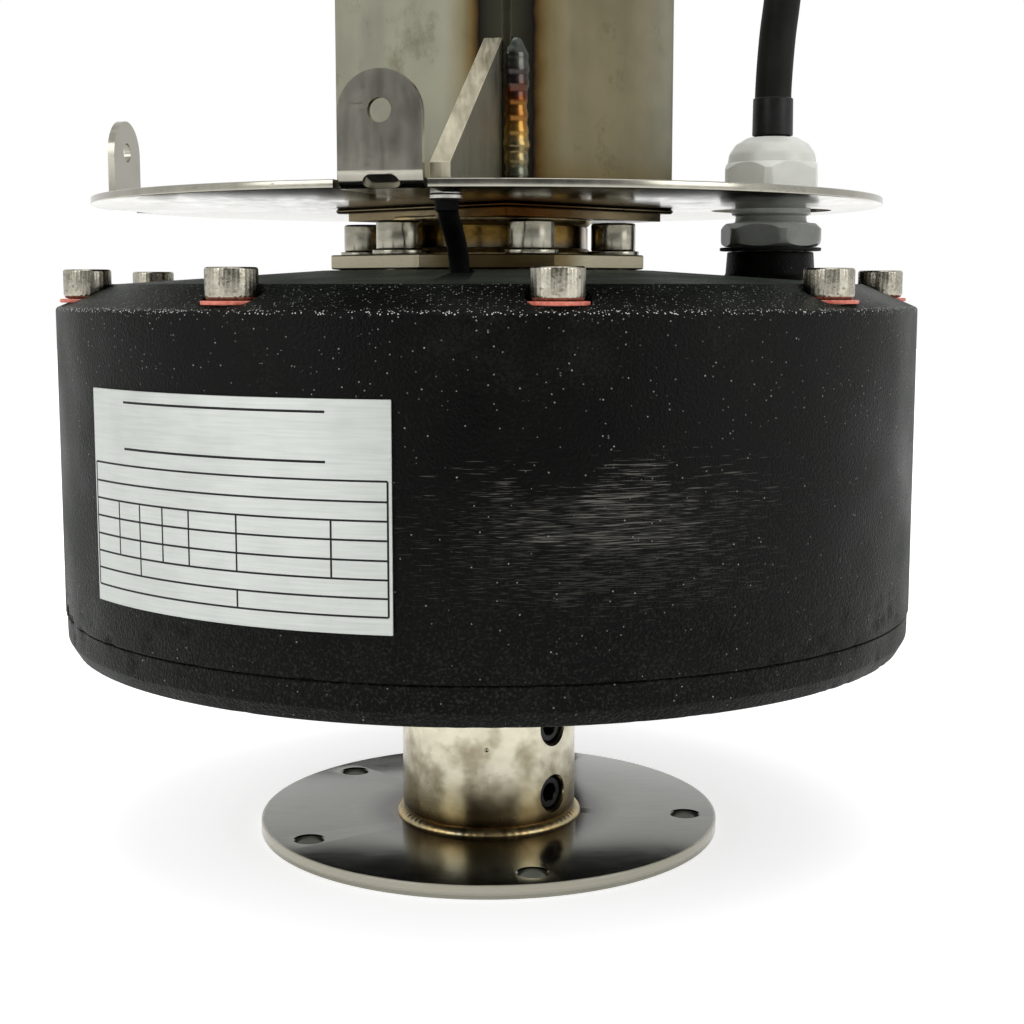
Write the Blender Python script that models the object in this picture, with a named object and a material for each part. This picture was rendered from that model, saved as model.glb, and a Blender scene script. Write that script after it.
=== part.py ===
"""Generator head and mounting frame of a vertical axis wind turbine.

Metres, +Z up. The origin is the centre of the hub flange's lower face, on the shaft axis.
The housing, frame and column are one rigid group. The hub, shaft and rotor discs turn on
two ball bearings, and the balls of each bearing roll round at their own slower rate.
Azimuths are in degrees from the front (-Y), positive towards +X.
"""

from math import cos, pi, radians, sin, sqrt

import bmesh
import bpy
from mathutils import Matrix, Vector
from mathutils.geometry import interpolate_bezier

MM = 0.001

# Clearances
GAP = 0.3 * MM  # between pieces that rest on or in each other
AXIS_MERGE = 0.01 * MM  # joins the points that meet on a turning axis
OVERLAP = 1.0 * MM  # how far a cutter or a joined shape runs past a face

# Smoothness, in sides to the circle
ROUND_LARGE = 40
ROUND_MEDIUM = 24
ROUND_SMALL = 12
BALL_SIDES = 6

# Hub that turns under the housing
HUB_FLANGE_DIAMETER = 140 * MM
HUB_FLANGE_THICKNESS = 4 * MM
HUB_HOLE_DIAMETER = 8.5 * MM
HUB_HOLE_CIRCLE = 121 * MM
HUB_HOLE_AZIMUTH = 11.5
HUB_HOLE_COUNT = 5
COLLAR_DIAMETER = 53 * MM
COLLAR_LENGTH = 51 * MM
GRUB_SCREW_DIAMETER = 10 * MM
GRUB_SCREW_LENGTH = 12 * MM
GRUB_SOCKET_ACROSS_FLATS = 5 * MM
GRUB_SCREW_AZIMUTH = 47
GRUB_SCREW_RISES = (9.7 * MM, 30.1 * MM)  # above the collar's lower end
HUB_RUNNING_GAP = 6.2 * MM

# Shaft and bearings
SHAFT_DIAMETER = 25 * MM
SHAFT_SHOULDER_DIAMETER = 38 * MM
SHAFT_ROTOR_DIAMETER = 30 * MM
SHAFT_TOP_DIAMETER = 20 * MM
SHAFT_END_RECESS = 2 * MM
LOWER_BEARING_DIAMETER = 52 * MM
LOWER_BEARING_WIDTH = 15 * MM
UPPER_BEARING_DIAMETER = 47 * MM
UPPER_BEARING_WIDTH = 14 * MM
BEARING_BALL_DIAMETER = 7.9 * MM
BALLS_PER_BEARING = 9
BEARING_RING_SHARE = 0.2  # of the space between bore and rim, taken by each ring
CAGE_WIDTH = 5 * MM
CAGE_THICKNESS = 2.4 * MM
SEAL_DIAMETER = 38 * MM
SEAL_WIDTH = 7 * MM
SEAL_LIP = 1 * MM

# Housing: a bottom cover and a deep drum
HOUSING_DIAMETER = 250 * MM
COVER_THICKNESS = 10.5 * MM
COVER_INSET = 0.7 * MM
COVER_EDGE_HEIGHT = 3.9 * MM
COVER_EDGE_INSET = 2 * MM
COVER_BOSS_DIAMETER = 76 * MM
SPIGOT_WALL = 6 * MM
SEAL_RING_THICKNESS = 2 * MM
SEAL_RING_HEIGHT = 3 * MM
SEAL_RING_OFFSET = 4 * MM
DRUM_WALL = 19 * MM
DRUM_WALL_HEIGHT = 86.4 * MM
SHOULDER_RUN = 15.5 * MM
SHOULDER_RISE = 6.6 * MM
RIM_LAND = 1.5 * MM
CONE_RISE = 3.9 * MM
TOP_SEAT_DIAMETER = 99 * MM
TOP_SKIN = 17 * MM
TOP_BOSS_DIAMETER = 96 * MM
TOP_BOSS_DROP = 6 * MM
UPPER_POCKET_FLOOR = 8.7 * MM  # metal above the upper bearing
STATOR_LEDGE = 3 * MM

# Generator
ROTOR_DISC_DIAMETER = 190 * MM
ROTOR_DISC_THICKNESS = 8 * MM
ROTOR_GAP_BELOW = 4 * MM
SPACER_DIAMETER = 60 * MM
MAGNET_THICKNESS = 6 * MM
MAGNET_OUTER_INSET = 3 * MM
MAGNET_LENGTH = 38 * MM
MAGNET_SPAN = 22  # degrees
POLE_COUNT = 12
AIR_GAP = 2 * MM
STATOR_THICKNESS = 14 * MM
STATOR_BORE = 68 * MM
ROTOR_NUT_ACROSS_FLATS = 41 * MM
ROTOR_NUT_HEIGHT = 7 * MM

# Long screws that close the housing, through the drum wall into the cover
CASING_SCREW_COUNT = 9
CASING_SCREW_AZIMUTH = 8
CASING_SCREW_INSET = 8.5 * MM  # from the drum's outer face to a screw's axis
CASING_SEAT_DEPTH = 5.2 * MM  # from the rim land down to a screw's seat
CASING_SCREW_BITE = 7.5 * MM  # thread held in the cover
SCREW_DIAMETER = 8 * MM
SCREW_HEAD_DIAMETER = 13 * MM
SCREW_HEAD_HEIGHT = 8 * MM
SCREW_SOCKET_ACROSS_FLATS = 6 * MM
SCREW_SOCKET_DEPTH = 4.5 * MM
SCREW_HOLE_CLEARANCE = 0.4 * MM
FIBRE_WASHER_DIAMETER = 15 * MM
FIBRE_WASHER_THICKNESS = 1 * MM
COUNTERBORE_CLEARANCE = 0.6 * MM

# Flange plate and the neck that carries the frame
FLANGE_PLATE_DIAMETER = 97 * MM  # across corners
FLANGE_PLATE_THICKNESS = 4 * MM
FLANGE_PLATE_SIDES = 8
FLANGE_PLATE_AZIMUTH = 22
FLANGE_SCREW_COUNT = 6
FLANGE_SCREW_CIRCLE = 75 * MM
FLANGE_SCREW_AZIMUTH = 18.5
FLANGE_WASHER_THICKNESS = 1.4 * MM
FLANGE_SCREW_LENGTH = 20 * MM
FLANGE_HOLE_SPARE = 2 * MM
NECK_DIAMETER = 58 * MM
NECK_WALL = 4 * MM
NECK_LENGTH = 9.6 * MM

# Column: a square tube set corner to the front, folded from two angles
COLUMN_SIDE = 71.4 * MM
COLUMN_WALL = 3 * MM
COLUMN_OFFSET = 5 * MM  # of its centre from the shaft axis, towards +X
COLUMN_LENGTH = 143 * MM
COLUMN_BASE_THICKNESS = 3.4 * MM

# Disc with turned-up tabs, and the gusset that braces the column
DISC_DIAMETER = 229 * MM
DISC_THICKNESS = 2.1 * MM
TAB_AZIMUTHS = (-12.7, -100.0, 173.0)
TAB_WIDTH = 20.5 * MM
TAB_HEIGHT = 25 * MM
TAB_BEND = 2 * MM
TAB_HOLE_DIAMETER = 5.7 * MM
TAB_HOLE_DROP = 9.4 * MM
TAB_SLOT = (9 * MM, 3.5 * MM)
TAB_RELIEF = (1.2 * MM, 6 * MM)  # width and depth of the slit at each side
TAB_BEND_STEPS = 4
TAB_CROWN_STEPS = 8
GUSSET_THICKNESS = 5 * MM
GUSSET_AZIMUTH = 12.15  # from the front towards -X
GUSSET_LENGTH = 60.4 * MM
GUSSET_HEIGHT = 40.2 * MM
GUSSET_TOE_HEIGHT = 3.7 * MM
GUSSET_ROOT = (1.5 * MM, -49 * MM)

# Cable gland
GLAND_CENTRE = (86 * MM, 11 * MM)
GLAND_BOSS_DIAMETER = 26 * MM
GLAND_BOSS_RISE = 9.7 * MM  # above the rim
GLAND_THREAD_DIAMETER = 20 * MM
GLAND_WASHER_DIAMETER = 30 * MM
GLAND_WASHER_THICKNESS = 1 * MM
GLAND_ACROSS_FLATS = 29 * MM
GLAND_HEX_HEIGHT = 6.9 * MM
GLAND_NECK_DIAMETER = 22.7 * MM
GLAND_NECK_LENGTH = 14 * MM
GLAND_NUT_ACROSS_FLATS = 28.4 * MM
GLAND_NUT_HEIGHT = 10.7 * MM
GLAND_NUT_LIFT = 7.4 * MM  # bare neck between the hexagons
GLAND_DOME_HEIGHT = 7.6 * MM
GLAND_DOME_DIAMETER = 13.6 * MM
GLAND_DOME_FULLNESS = 0.7  # share of the taper left at half the dome's height
GLAND_HOLE_IN_DISC = 36 * MM

# Earth lead from the cast boss up to the disc
EARTH_BOSS_BASE = ((-12.5 * MM, -64 * MM), (1.5 * MM, -64 * MM), (-7 * MM, -54 * MM))
EARTH_BOSS_HEIGHT = 4.2 * MM
EARTH_BOSS_TAPER = 0.65  # how far the top shrinks towards the rear corner
EARTH_LEAD_DIAMETER = 4.6 * MM
EARTH_LUG_LENGTH = 15 * MM
EARTH_LUG_WIDTH = 8 * MM
EARTH_LUG_THICKNESS = 1.4 * MM
EARTH_LEAD_ROUTE = (  # heights above the rim
    (-7.2 * MM, -61.5 * MM, 4.9 * MM),
    (-7.5 * MM, -62.2 * MM, 9.2 * MM),
    (-8.6 * MM, -64.8 * MM, 14.2 * MM),
    (-9.8 * MM, -69.5 * MM, 17.5 * MM),
    (-10.4 * MM, -75.5 * MM, 18.1 * MM),
)

# Rating plate on the drum wall
PLATE_AZIMUTHS = (-53.7, -10.2)
PLATE_RISES = (11.7 * MM, 66.7 * MM)  # above the drum's lower edge
PLATE_THICKNESS = 0.5 * MM
PLATE_STEPS = 12

# Output cable, where it lies free: out of the gland, over, and down behind the housing
CABLE_DIAMETER = 11 * MM
CABLE_LEAD_POINTS = 56
CABLE_ROUTE = (
    (86.0 * MM, 11.0 * MM, 209.5 * MM),
    (86.0 * MM, 11.0 * MM, 223.0 * MM),
    (86.9 * MM, 11.2 * MM, 238.0 * MM),
    (88.6 * MM, 12.0 * MM, 253.0 * MM),
    (90.6 * MM, 17.0 * MM, 275.0 * MM),
    (89.6 * MM, 32.0 * MM, 298.0 * MM),
    (82.0 * MM, 54.0 * MM, 314.5 * MM),
    (67.5 * MM, 81.0 * MM, 320.0 * MM),
    (52.0 * MM, 107.0 * MM, 312.5 * MM),
    (40.0 * MM, 127.0 * MM, 295.0 * MM),
    (33.0 * MM, 139.0 * MM, 270.0 * MM),
    (29.5 * MM, 144.0 * MM, 240.0 * MM),
    (28.0 * MM, 146.0 * MM, 200.0 * MM),
    (27.5 * MM, 146.5 * MM, 160.0 * MM),
    (27.5 * MM, 146.5 * MM, 120.0 * MM),
    (27.8 * MM, 148.0 * MM, 88.0 * MM),
    (28.5 * MM, 153.5 * MM, 58.0 * MM),
    (30.5 * MM, 166.0 * MM, 30.0 * MM),
    (33.5 * MM, 186.0 * MM, 11.5 * MM),
    (36.6 * MM, 208.0 * MM, 5.9 * MM),
    (39.4 * MM, 230.0 * MM, 5.8 * MM),
)
COIL_CENTRE = (-36.6 * MM, 246 * MM)
COIL_MEAN_RADIUS = 60.5 * MM
COIL_LAYERS = 2
COIL_ROWS = 2
CABLE_BOOT_DIAMETER = 13.4 * MM
CABLE_BOOT_LENGTH = 26 * MM
CABLE_CORES_DIAMETER = 9 * MM
CABLE_CORES_LENGTH = 34 * MM
CABLE_END_TURN = 28  # degrees, of the end piece about the upright

# ---------------------------------------------------------------- worked-out heights

collar_bottom = HUB_FLANGE_THICKNESS + GAP
collar_top = collar_bottom + COLLAR_LENGTH
cover_bottom = collar_top + HUB_RUNNING_GAP
cover_top = cover_bottom + COVER_THICKNESS
drum_bottom = cover_top + GAP
wall_top = drum_bottom + DRUM_WALL_HEIGHT
rim_height = wall_top + SHOULDER_RISE
top_seat = rim_height + CONE_RISE
top_underside = top_seat - TOP_SKIN
boss_underside = top_underside - TOP_BOSS_DROP

housing_radius = HOUSING_DIAMETER / 2
drum_inner = housing_radius - DRUM_WALL
spigot_outer = drum_inner - GAP

seal_bottom = cover_bottom + GAP
lower_ledge = seal_bottom + SEAL_WIDTH + GAP
lower_seat = lower_ledge + SEAL_LIP
lower_bearing_bottom = lower_seat + GAP
lower_bearing_top = lower_bearing_bottom + LOWER_BEARING_WIDTH
cover_boss_top = lower_bearing_top + GAP

shoulder_bottom = lower_bearing_top + GAP
lower_disc_bottom = cover_boss_top + ROTOR_GAP_BELOW
lower_disc_top = lower_disc_bottom + ROTOR_DISC_THICKNESS
stator_bottom = lower_disc_top + MAGNET_THICKNESS + AIR_GAP
stator_top = stator_bottom + STATOR_THICKNESS
upper_disc_bottom = stator_top + AIR_GAP + MAGNET_THICKNESS
upper_disc_top = upper_disc_bottom + ROTOR_DISC_THICKNESS
ledge_height = stator_top + GAP
spigot_top = stator_bottom - GAP

upper_bearing_top = top_seat - UPPER_POCKET_FLOOR - GAP
upper_bearing_bottom = upper_bearing_top - UPPER_BEARING_WIDTH
shaft_step = upper_bearing_bottom - GAP

casing_screw_radius = housing_radius - CASING_SCREW_INSET
casing_seat = rim_height - CASING_SEAT_DEPTH
casing_head_bottom = casing_seat + GAP + FIBRE_WASHER_THICKNESS
casing_screw_end = cover_top - CASING_SCREW_BITE

plate_bottom = top_seat + GAP
plate_top = plate_bottom + FLANGE_PLATE_THICKNESS
flange_head_bottom = plate_top + FLANGE_WASHER_THICKNESS
flange_screw_end = flange_head_bottom - FLANGE_SCREW_LENGTH
neck_bottom = plate_top + GAP
neck_top = neck_bottom + NECK_LENGTH
base_bottom = neck_top + GAP
base_top = base_bottom + COLUMN_BASE_THICKNESS
column_bottom = base_top + GAP
column_top = column_bottom + COLUMN_LENGTH
disc_bottom = column_bottom
disc_top = disc_bottom + DISC_THICKNESS

gland_boss_top = rim_height + GLAND_BOSS_RISE
gland_washer_bottom = gland_boss_top + GAP
gland_washer_top = gland_washer_bottom + GLAND_WASHER_THICKNESS
gland_hex_bottom = gland_washer_top + GAP
gland_hex_top = gland_hex_bottom + GLAND_HEX_HEIGHT
gland_nut_bottom = gland_hex_top + GLAND_NUT_LIFT
gland_nut_top = gland_nut_bottom + GLAND_NUT_HEIGHT
gland_top = gland_nut_top + GLAND_DOME_HEIGHT

# ---------------------------------------------------------------- shapes


def on_azimuth(radius, azimuth):
    """The point at this radius and azimuth, at height 0."""
    angle = radians(azimuth)
    return Vector((radius * sin(angle), -radius * cos(angle), 0))


def circle(radius, height, sides):
    """Points of a level ring about Z."""
    return [
        (radius * cos(2 * pi * i / sides), radius * sin(2 * pi * i / sides), height)
        for i in range(sides)
    ]


def hexagon(across_flats, height, sides):
    """A level hexagon given with as many points as the circles it joins, a multiple of 12."""
    points = []
    for i in range(sides):
        angle = 2 * pi * i / sides
        radius = across_flats / 2 / cos(angle % (pi / 3) - pi / 6)
        points.append((radius * cos(angle), radius * sin(angle), height))
    return points


def add_loft(shape, rings, place=Matrix(), ends=True):
    """Joins rings of equal point count. With ends=False the last ring joins back to the first."""
    rows = [[shape.verts.new(place @ Vector(p)) for p in ring] for ring in rings]
    pairs = list(zip(rows, rows[1:]))
    if ends:
        shape.faces.new(rows[0])
        shape.faces.new(rows[-1])
    else:
        pairs.append((rows[-1], rows[0]))
    count = len(rows[0])
    for low, high in pairs:
        for i in range(count):
            j = (i + 1) % count
            shape.faces.new((low[i], low[j], high[j], high[i]))


def add_turned(shape, outline, sides, place=Matrix()):
    """A solid turned about Z. An outline whose ends lie on the axis is closed by it."""
    solid = outline[0][0] == 0 and outline[-1][0] == 0
    if solid:
        outline = outline[1:-1]
    rings = [circle(radius, height, sides) for radius, height in outline]
    add_loft(shape, rings, place, ends=solid)


def add_prism(shape, corners, low, high, place=Matrix()):
    """An upright prism on a flat outline."""
    add_loft(shape, [[(x, y, z) for x, y in corners] for z in (low, high)], place)


def finish(name, colour, roughness, metallic):
    """A Principled material."""
    material = bpy.data.materials.new(name)
    material.use_nodes = True
    shader = material.node_tree.nodes["Principled BSDF"]
    shader.inputs["Base Color"].default_value = (*colour, 1)
    shader.inputs["Roughness"].default_value = roughness
    shader.inputs["Metallic"].default_value = metallic
    return material


def mesh_from(name, shape):
    """Turns the shape's faces outwards and stores it as a mesh."""
    bmesh.ops.remove_doubles(shape, verts=shape.verts, dist=AXIS_MERGE)
    bmesh.ops.recalc_face_normals(shape, faces=shape.faces)
    mesh = bpy.data.meshes.new(name)
    shape.to_mesh(mesh)
    shape.free()
    mesh.shade_smooth()
    mesh.set_sharp_from_angle(angle=radians(30))
    return mesh


def place_object(name, data, look, axis=None, location=(0, 0, 0), turn=0.0):
    """Puts an object in the scene, under the empty of the axis it turns about."""
    item = bpy.data.objects.new(name, data)
    item.location = location
    item.rotation_euler = (0, 0, radians(turn))
    item.parent = axis
    if not data.materials:
        data.materials.append(finish(name, *look))
    bpy.context.scene.collection.objects.link(item)
    return item


def helper(name, shape, owner):
    """A shape in its owner's own frame that only cuts or joins: it is left out of every render."""
    item = bpy.data.objects.new(name, mesh_from(name, shape))
    item.parent = owner
    item.hide_render = True
    item.display_type = "WIRE"
    bpy.context.scene.collection.objects.link(item)
    return item


def combine(item, operation, shape):
    """Cuts the shape from an object, or joins it on."""
    title = f"{item.name}_{operation.lower()}_{len(item.modifiers) + 1}"
    modifier = item.modifiers.new(title, "BOOLEAN")
    modifier.operation = operation
    modifier.solver = "EXACT"
    modifier.object = helper(title, shape, item)


def turned(name, outline, sides, look, axis=None, location=(0, 0, 0)):
    shape = bmesh.new()
    add_turned(shape, outline, sides)
    return place_object(name, mesh_from(name, shape), look, axis, location)


def square(half_diagonal):
    """Corners of a square about the column's axis, one corner to the front."""
    return [
        (COLUMN_OFFSET + x * half_diagonal, y * half_diagonal)
        for x, y in ((0, -1), (1, 0), (0, 1), (-1, 0))
    ]


def smooth_through(points, count):
    """Evenly many points of one smooth curve through the route's own points."""
    points = [Vector(p) for p in points]
    ahead = [2 * points[0] - points[1]] + points + [2 * points[-1] - points[-2]]
    steps = 12
    curve = []
    for before, start, end, after in zip(ahead, ahead[1:], ahead[2:], ahead[3:]):
        first_handle = start + (end - before) / 6
        second_handle = end - (after - start) / 6
        curve += interpolate_bezier(start, first_handle, second_handle, end, steps + 1)[:-1]
    curve.append(points[-1])
    reached = [0.0]
    for start, end in zip(curve, curve[1:]):
        reached.append(reached[-1] + (end - start).length)
    result = []
    here = 0
    for i in range(count):
        wanted = reached[-1] * i / (count - 1)
        while here < len(curve) - 2 and reached[here + 1] < wanted:
            here += 1
        share = (wanted - reached[here]) / (reached[here + 1] - reached[here])
        result.append(curve[here].lerp(curve[here + 1], share))
    return result


def tube_along(name, points, diameter, sides_setting, look):
    """A round cord: a poly curve with filled caps."""
    curve = bpy.data.curves.new(name, "CURVE")
    curve.dimensions = "3D"
    spline = curve.splines.new("POLY")
    spline.points.add(len(points) - 1)
    for target, point in zip(spline.points, points):
        target.co = (*point, 1)
    curve.bevel_depth = diameter / 2
    curve.bevel_resolution = sides_setting
    curve.use_fill_caps = True
    return place_object(name, curve, look)


# ---------------------------------------------------------------- finishes

BLACK_PAINT = ((0.012, 0.012, 0.013), 0.55, 0.0)
STEEL = ((0.52, 0.5, 0.46), 0.32, 1.0)
BRIGHT_STEEL = ((0.72, 0.72, 0.7), 0.22, 1.0)
BLACK_STEEL = ((0.03, 0.03, 0.03), 0.4, 0.8)
RED_FIBRE = ((0.72, 0.16, 0.1), 0.7, 0.0)
GREY_PLASTIC = ((0.66, 0.68, 0.64), 0.45, 0.0)
BLACK_RUBBER = ((0.02, 0.02, 0.02), 0.7, 0.0)
RESIN = ((0.16, 0.09, 0.04), 0.4, 0.0)
FOIL = ((0.75, 0.75, 0.76), 0.3, 0.9)
SOFT_IRON = ((0.35, 0.34, 0.33), 0.4, 1.0)

# ---------------------------------------------------------------- housing


def screw_places(count, radius, first_azimuth):
    """Azimuth and centre of each screw of a ring."""
    azimuths = [first_azimuth + 360 * i / count for i in range(count)]
    return [(azimuth, on_azimuth(radius, azimuth)) for azimuth in azimuths]


CASING_PLACES = screw_places(CASING_SCREW_COUNT, casing_screw_radius, CASING_SCREW_AZIMUTH)
FLANGE_PLACES = screw_places(FLANGE_SCREW_COUNT, FLANGE_SCREW_CIRCLE / 2, FLANGE_SCREW_AZIMUTH)
screw_hole = SCREW_DIAMETER / 2 + SCREW_HOLE_CLEARANCE


def make_drum():
    """The upper casing: wall, sloping shoulder, shallow cone, bearing boss and gland boss."""
    pocket = UPPER_BEARING_DIAMETER / 2 + GAP
    drum = turned(
        "drum_housing",
        [
            (0, top_seat),
            (TOP_SEAT_DIAMETER / 2, top_seat),
            (housing_radius - SHOULDER_RUN - RIM_LAND, rim_height),
            (housing_radius - SHOULDER_RUN, rim_height),
            (housing_radius, wall_top),
            (housing_radius, drum_bottom),
            (drum_inner, drum_bottom),
            (drum_inner, ledge_height),
            (drum_inner - STATOR_LEDGE, ledge_height),
            (drum_inner - STATOR_LEDGE, top_underside),
            (TOP_BOSS_DIAMETER / 2, top_underside),
            (TOP_BOSS_DIAMETER / 2, boss_underside),
            (pocket, boss_underside),
            (pocket, upper_bearing_top + GAP),
            (0, upper_bearing_top + GAP),
        ],
        ROUND_LARGE,
        BLACK_PAINT,
    )
    joined = bmesh.new()
    gland = Matrix.Translation((*GLAND_CENTRE, 0))
    boss = GLAND_BOSS_DIAMETER / 2
    boss_outline = [(0, top_underside + OVERLAP), (boss, top_underside + OVERLAP)]
    boss_outline += [(boss, gland_boss_top), (0, gland_boss_top)]
    add_turned(joined, boss_outline, ROUND_MEDIUM, gland)
    combine(drum, "UNION", joined)
    wedge = bmesh.new()
    tip = EARTH_BOSS_BASE[2]
    crest = rim_height + EARTH_BOSS_HEIGHT
    foot = [(x, y, rim_height - OVERLAP) for x, y in EARTH_BOSS_BASE]
    taper = EARTH_BOSS_TAPER
    head = [(x + taper * (tip[0] - x), y + taper * (tip[1] - y), crest) for x, y in EARTH_BOSS_BASE]
    add_loft(wedge, [foot, head])
    combine(drum, "UNION", wedge)

    holes = bmesh.new()
    seat = FIBRE_WASHER_DIAMETER / 2 + COUNTERBORE_CLEARANCE
    stepped = [
        (0, drum_bottom - OVERLAP),
        (screw_hole, drum_bottom - OVERLAP),
        (screw_hole, casing_seat),
        (seat, casing_seat),
        (seat, top_seat + OVERLAP),
        (0, top_seat + OVERLAP),
    ]
    for azimuth, centre in CASING_PLACES:
        add_turned(holes, stepped, ROUND_SMALL, Matrix.Translation(centre))
    blind = flange_screw_end - FLANGE_HOLE_SPARE
    above = top_seat + OVERLAP
    threads = [(0, blind), (screw_hole, blind), (screw_hole, above), (0, above)]
    for azimuth, centre in FLANGE_PLACES:
        add_turned(holes, threads, ROUND_SMALL, Matrix.Translation(centre))
    bore = GLAND_THREAD_DIAMETER / 2 + GAP
    through = [(0, top_underside - OVERLAP), (bore, top_underside - OVERLAP)]
    through += [(bore, gland_boss_top + OVERLAP), (0, gland_boss_top + OVERLAP)]
    add_turned(holes, through, ROUND_MEDIUM, gland)
    combine(drum, "DIFFERENCE", holes)


def make_cover():
    """The lower casing: a plate with a spigot that clamps the stator, and a bearing boss."""
    outer = housing_radius - COVER_INSET
    edge = outer - COVER_EDGE_INSET
    groove = spigot_outer - SEAL_RING_THICKNESS - GAP
    groove_bottom = cover_top + SEAL_RING_OFFSET
    groove_top = groove_bottom + SEAL_RING_HEIGHT + 2 * GAP
    seal_bore = SEAL_DIAMETER / 2 + GAP
    lip = (SHAFT_DIAMETER + SEAL_DIAMETER) / 4
    pocket = LOWER_BEARING_DIAMETER / 2 + GAP
    cover = turned(
        "bottom_cover",
        [
            (edge, cover_bottom),
            (outer, cover_bottom + COVER_EDGE_HEIGHT),
            (outer, cover_top),
            (spigot_outer, cover_top),
            (spigot_outer, groove_bottom),
            (groove, groove_bottom),
            (groove, groove_top),
            (spigot_outer, groove_top),
            (spigot_outer, spigot_top),
            (spigot_outer - SPIGOT_WALL, spigot_top),
            (spigot_outer - SPIGOT_WALL, cover_top),
            (COVER_BOSS_DIAMETER / 2, cover_top),
            (COVER_BOSS_DIAMETER / 2, cover_boss_top),
            (pocket, cover_boss_top),
            (pocket, lower_seat),
            (lip, lower_seat),
            (lip, lower_ledge),
            (seal_bore, lower_ledge),
            (seal_bore, cover_bottom),
        ],
        ROUND_LARGE,
        BLACK_PAINT,
    )
    holes = bmesh.new()
    blind = casing_screw_end - OVERLAP
    above = cover_top + OVERLAP
    outline = [(0, blind), (screw_hole, blind), (screw_hole, above), (0, above)]
    for azimuth, centre in CASING_PLACES:
        add_turned(holes, outline, ROUND_SMALL, Matrix.Translation(centre))
    combine(cover, "DIFFERENCE", holes)
    ring_bottom = groove_bottom + GAP
    ring = [
        (groove + GAP, ring_bottom),
        (groove + GAP + SEAL_RING_THICKNESS - GAP, ring_bottom),
        (groove + GAP + SEAL_RING_THICKNESS - GAP, ring_bottom + SEAL_RING_HEIGHT),
        (groove + GAP, ring_bottom + SEAL_RING_HEIGHT),
    ]
    turned("housing_seal", ring, ROUND_LARGE, BLACK_RUBBER)


def make_stator():
    """Three-phase windings potted in a resin disc, clamped between the ledge and the spigot."""
    rim = drum_inner - 2 * GAP
    section = [
        (STATOR_BORE / 2, stator_bottom),
        (rim, stator_bottom),
        (rim, stator_top),
        (STATOR_BORE / 2, stator_top),
    ]
    turned("stator_disc", section, ROUND_LARGE, RESIN)


def screw_mesh(name, length):
    """A socket head screw. Its head sits on height 0 and its shank points down."""
    shape = bmesh.new()
    head = SCREW_HEAD_DIAMETER / 2
    shank = SCREW_DIAMETER / 2
    floor = SCREW_HEAD_HEIGHT - SCREW_SOCKET_DEPTH
    rings = [
        circle(shank, -length, ROUND_SMALL),
        circle(shank, 0, ROUND_SMALL),
        circle(head, 0, ROUND_SMALL),
        circle(head, SCREW_HEAD_HEIGHT, ROUND_SMALL),
        hexagon(SCREW_SOCKET_ACROSS_FLATS, SCREW_HEAD_HEIGHT, ROUND_SMALL),
        hexagon(SCREW_SOCKET_ACROSS_FLATS, floor, ROUND_SMALL),
    ]
    add_loft(shape, rings)
    return mesh_from(name, shape)


def make_casing_screws():
    """Nine long screws, each on a red fibre washer in its spot face."""
    screw = screw_mesh("casing_screw", casing_head_bottom - casing_screw_end)
    shape = bmesh.new()
    rim = FIBRE_WASHER_DIAMETER / 2
    washer_top = FIBRE_WASHER_THICKNESS - GAP
    washer_outline = [(screw_hole, 0), (rim, 0), (rim, washer_top), (screw_hole, washer_top)]
    add_turned(shape, washer_outline, ROUND_SMALL)
    washer = mesh_from("casing_washer", shape)
    for i, (azimuth, centre) in enumerate(CASING_PLACES, start=1):
        head_seat = centre + Vector((0, 0, casing_head_bottom))
        washer_seat = centre + Vector((0, 0, casing_seat + GAP))
        place_object(f"casing_screw_{i}", screw, BRIGHT_STEEL, None, head_seat, azimuth)
        place_object(f"casing_washer_{i}", washer, RED_FIBRE, None, washer_seat, azimuth)


def make_rating_plate():
    """A thin plate curved to the drum wall."""
    low, high = (drum_bottom + rise for rise in PLATE_RISES)
    inner = housing_radius + GAP
    outer = inner + PLATE_THICKNESS
    start, end = PLATE_AZIMUTHS
    rings = []
    for i in range(PLATE_STEPS + 1):
        azimuth = start + (end - start) * i / PLATE_STEPS
        rings.append(
            [
                (*on_azimuth(radius, azimuth).xy, height)
                for radius, height in ((inner, low), (outer, low), (outer, high), (inner, high))
            ]
        )
    shape = bmesh.new()
    add_loft(shape, rings)
    place_object("label_plate", mesh_from("label_plate", shape), FOIL)


# ---------------------------------------------------------------- frame


def make_flange_plate():
    """The plate bolted to the drum's top, and its six screws."""
    corners = [
        on_azimuth(FLANGE_PLATE_DIAMETER / 2, FLANGE_PLATE_AZIMUTH + 360 * i / FLANGE_PLATE_SIDES).xy
        for i in range(FLANGE_PLATE_SIDES)
    ]
    shape = bmesh.new()
    add_prism(shape, corners, plate_bottom, plate_top)
    plate = place_object("flange_plate", mesh_from("flange_plate", shape), STEEL)
    holes = bmesh.new()
    low = plate_bottom - OVERLAP
    high = plate_top + OVERLAP
    outline = [(0, low), (screw_hole, low), (screw_hole, high), (0, high)]
    for azimuth, centre in FLANGE_PLACES:
        add_turned(holes, outline, ROUND_SMALL, Matrix.Translation(centre))
    combine(plate, "DIFFERENCE", holes)
    screw = screw_mesh("flange_screw", flange_head_bottom - flange_screw_end)
    for i, (azimuth, centre) in enumerate(FLANGE_PLACES, start=1):
        seat = centre + Vector((0, 0, flange_head_bottom))
        place_object(f"flange_screw_{i}", screw, BRIGHT_STEEL, None, seat, azimuth)


def make_neck():
    inner = NECK_DIAMETER / 2 - NECK_WALL
    outer = NECK_DIAMETER / 2
    section = [(inner, neck_bottom), (outer, neck_bottom), (outer, neck_top), (inner, neck_top)]
    turned("neck_tube", section, ROUND_MEDIUM, STEEL)


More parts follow.
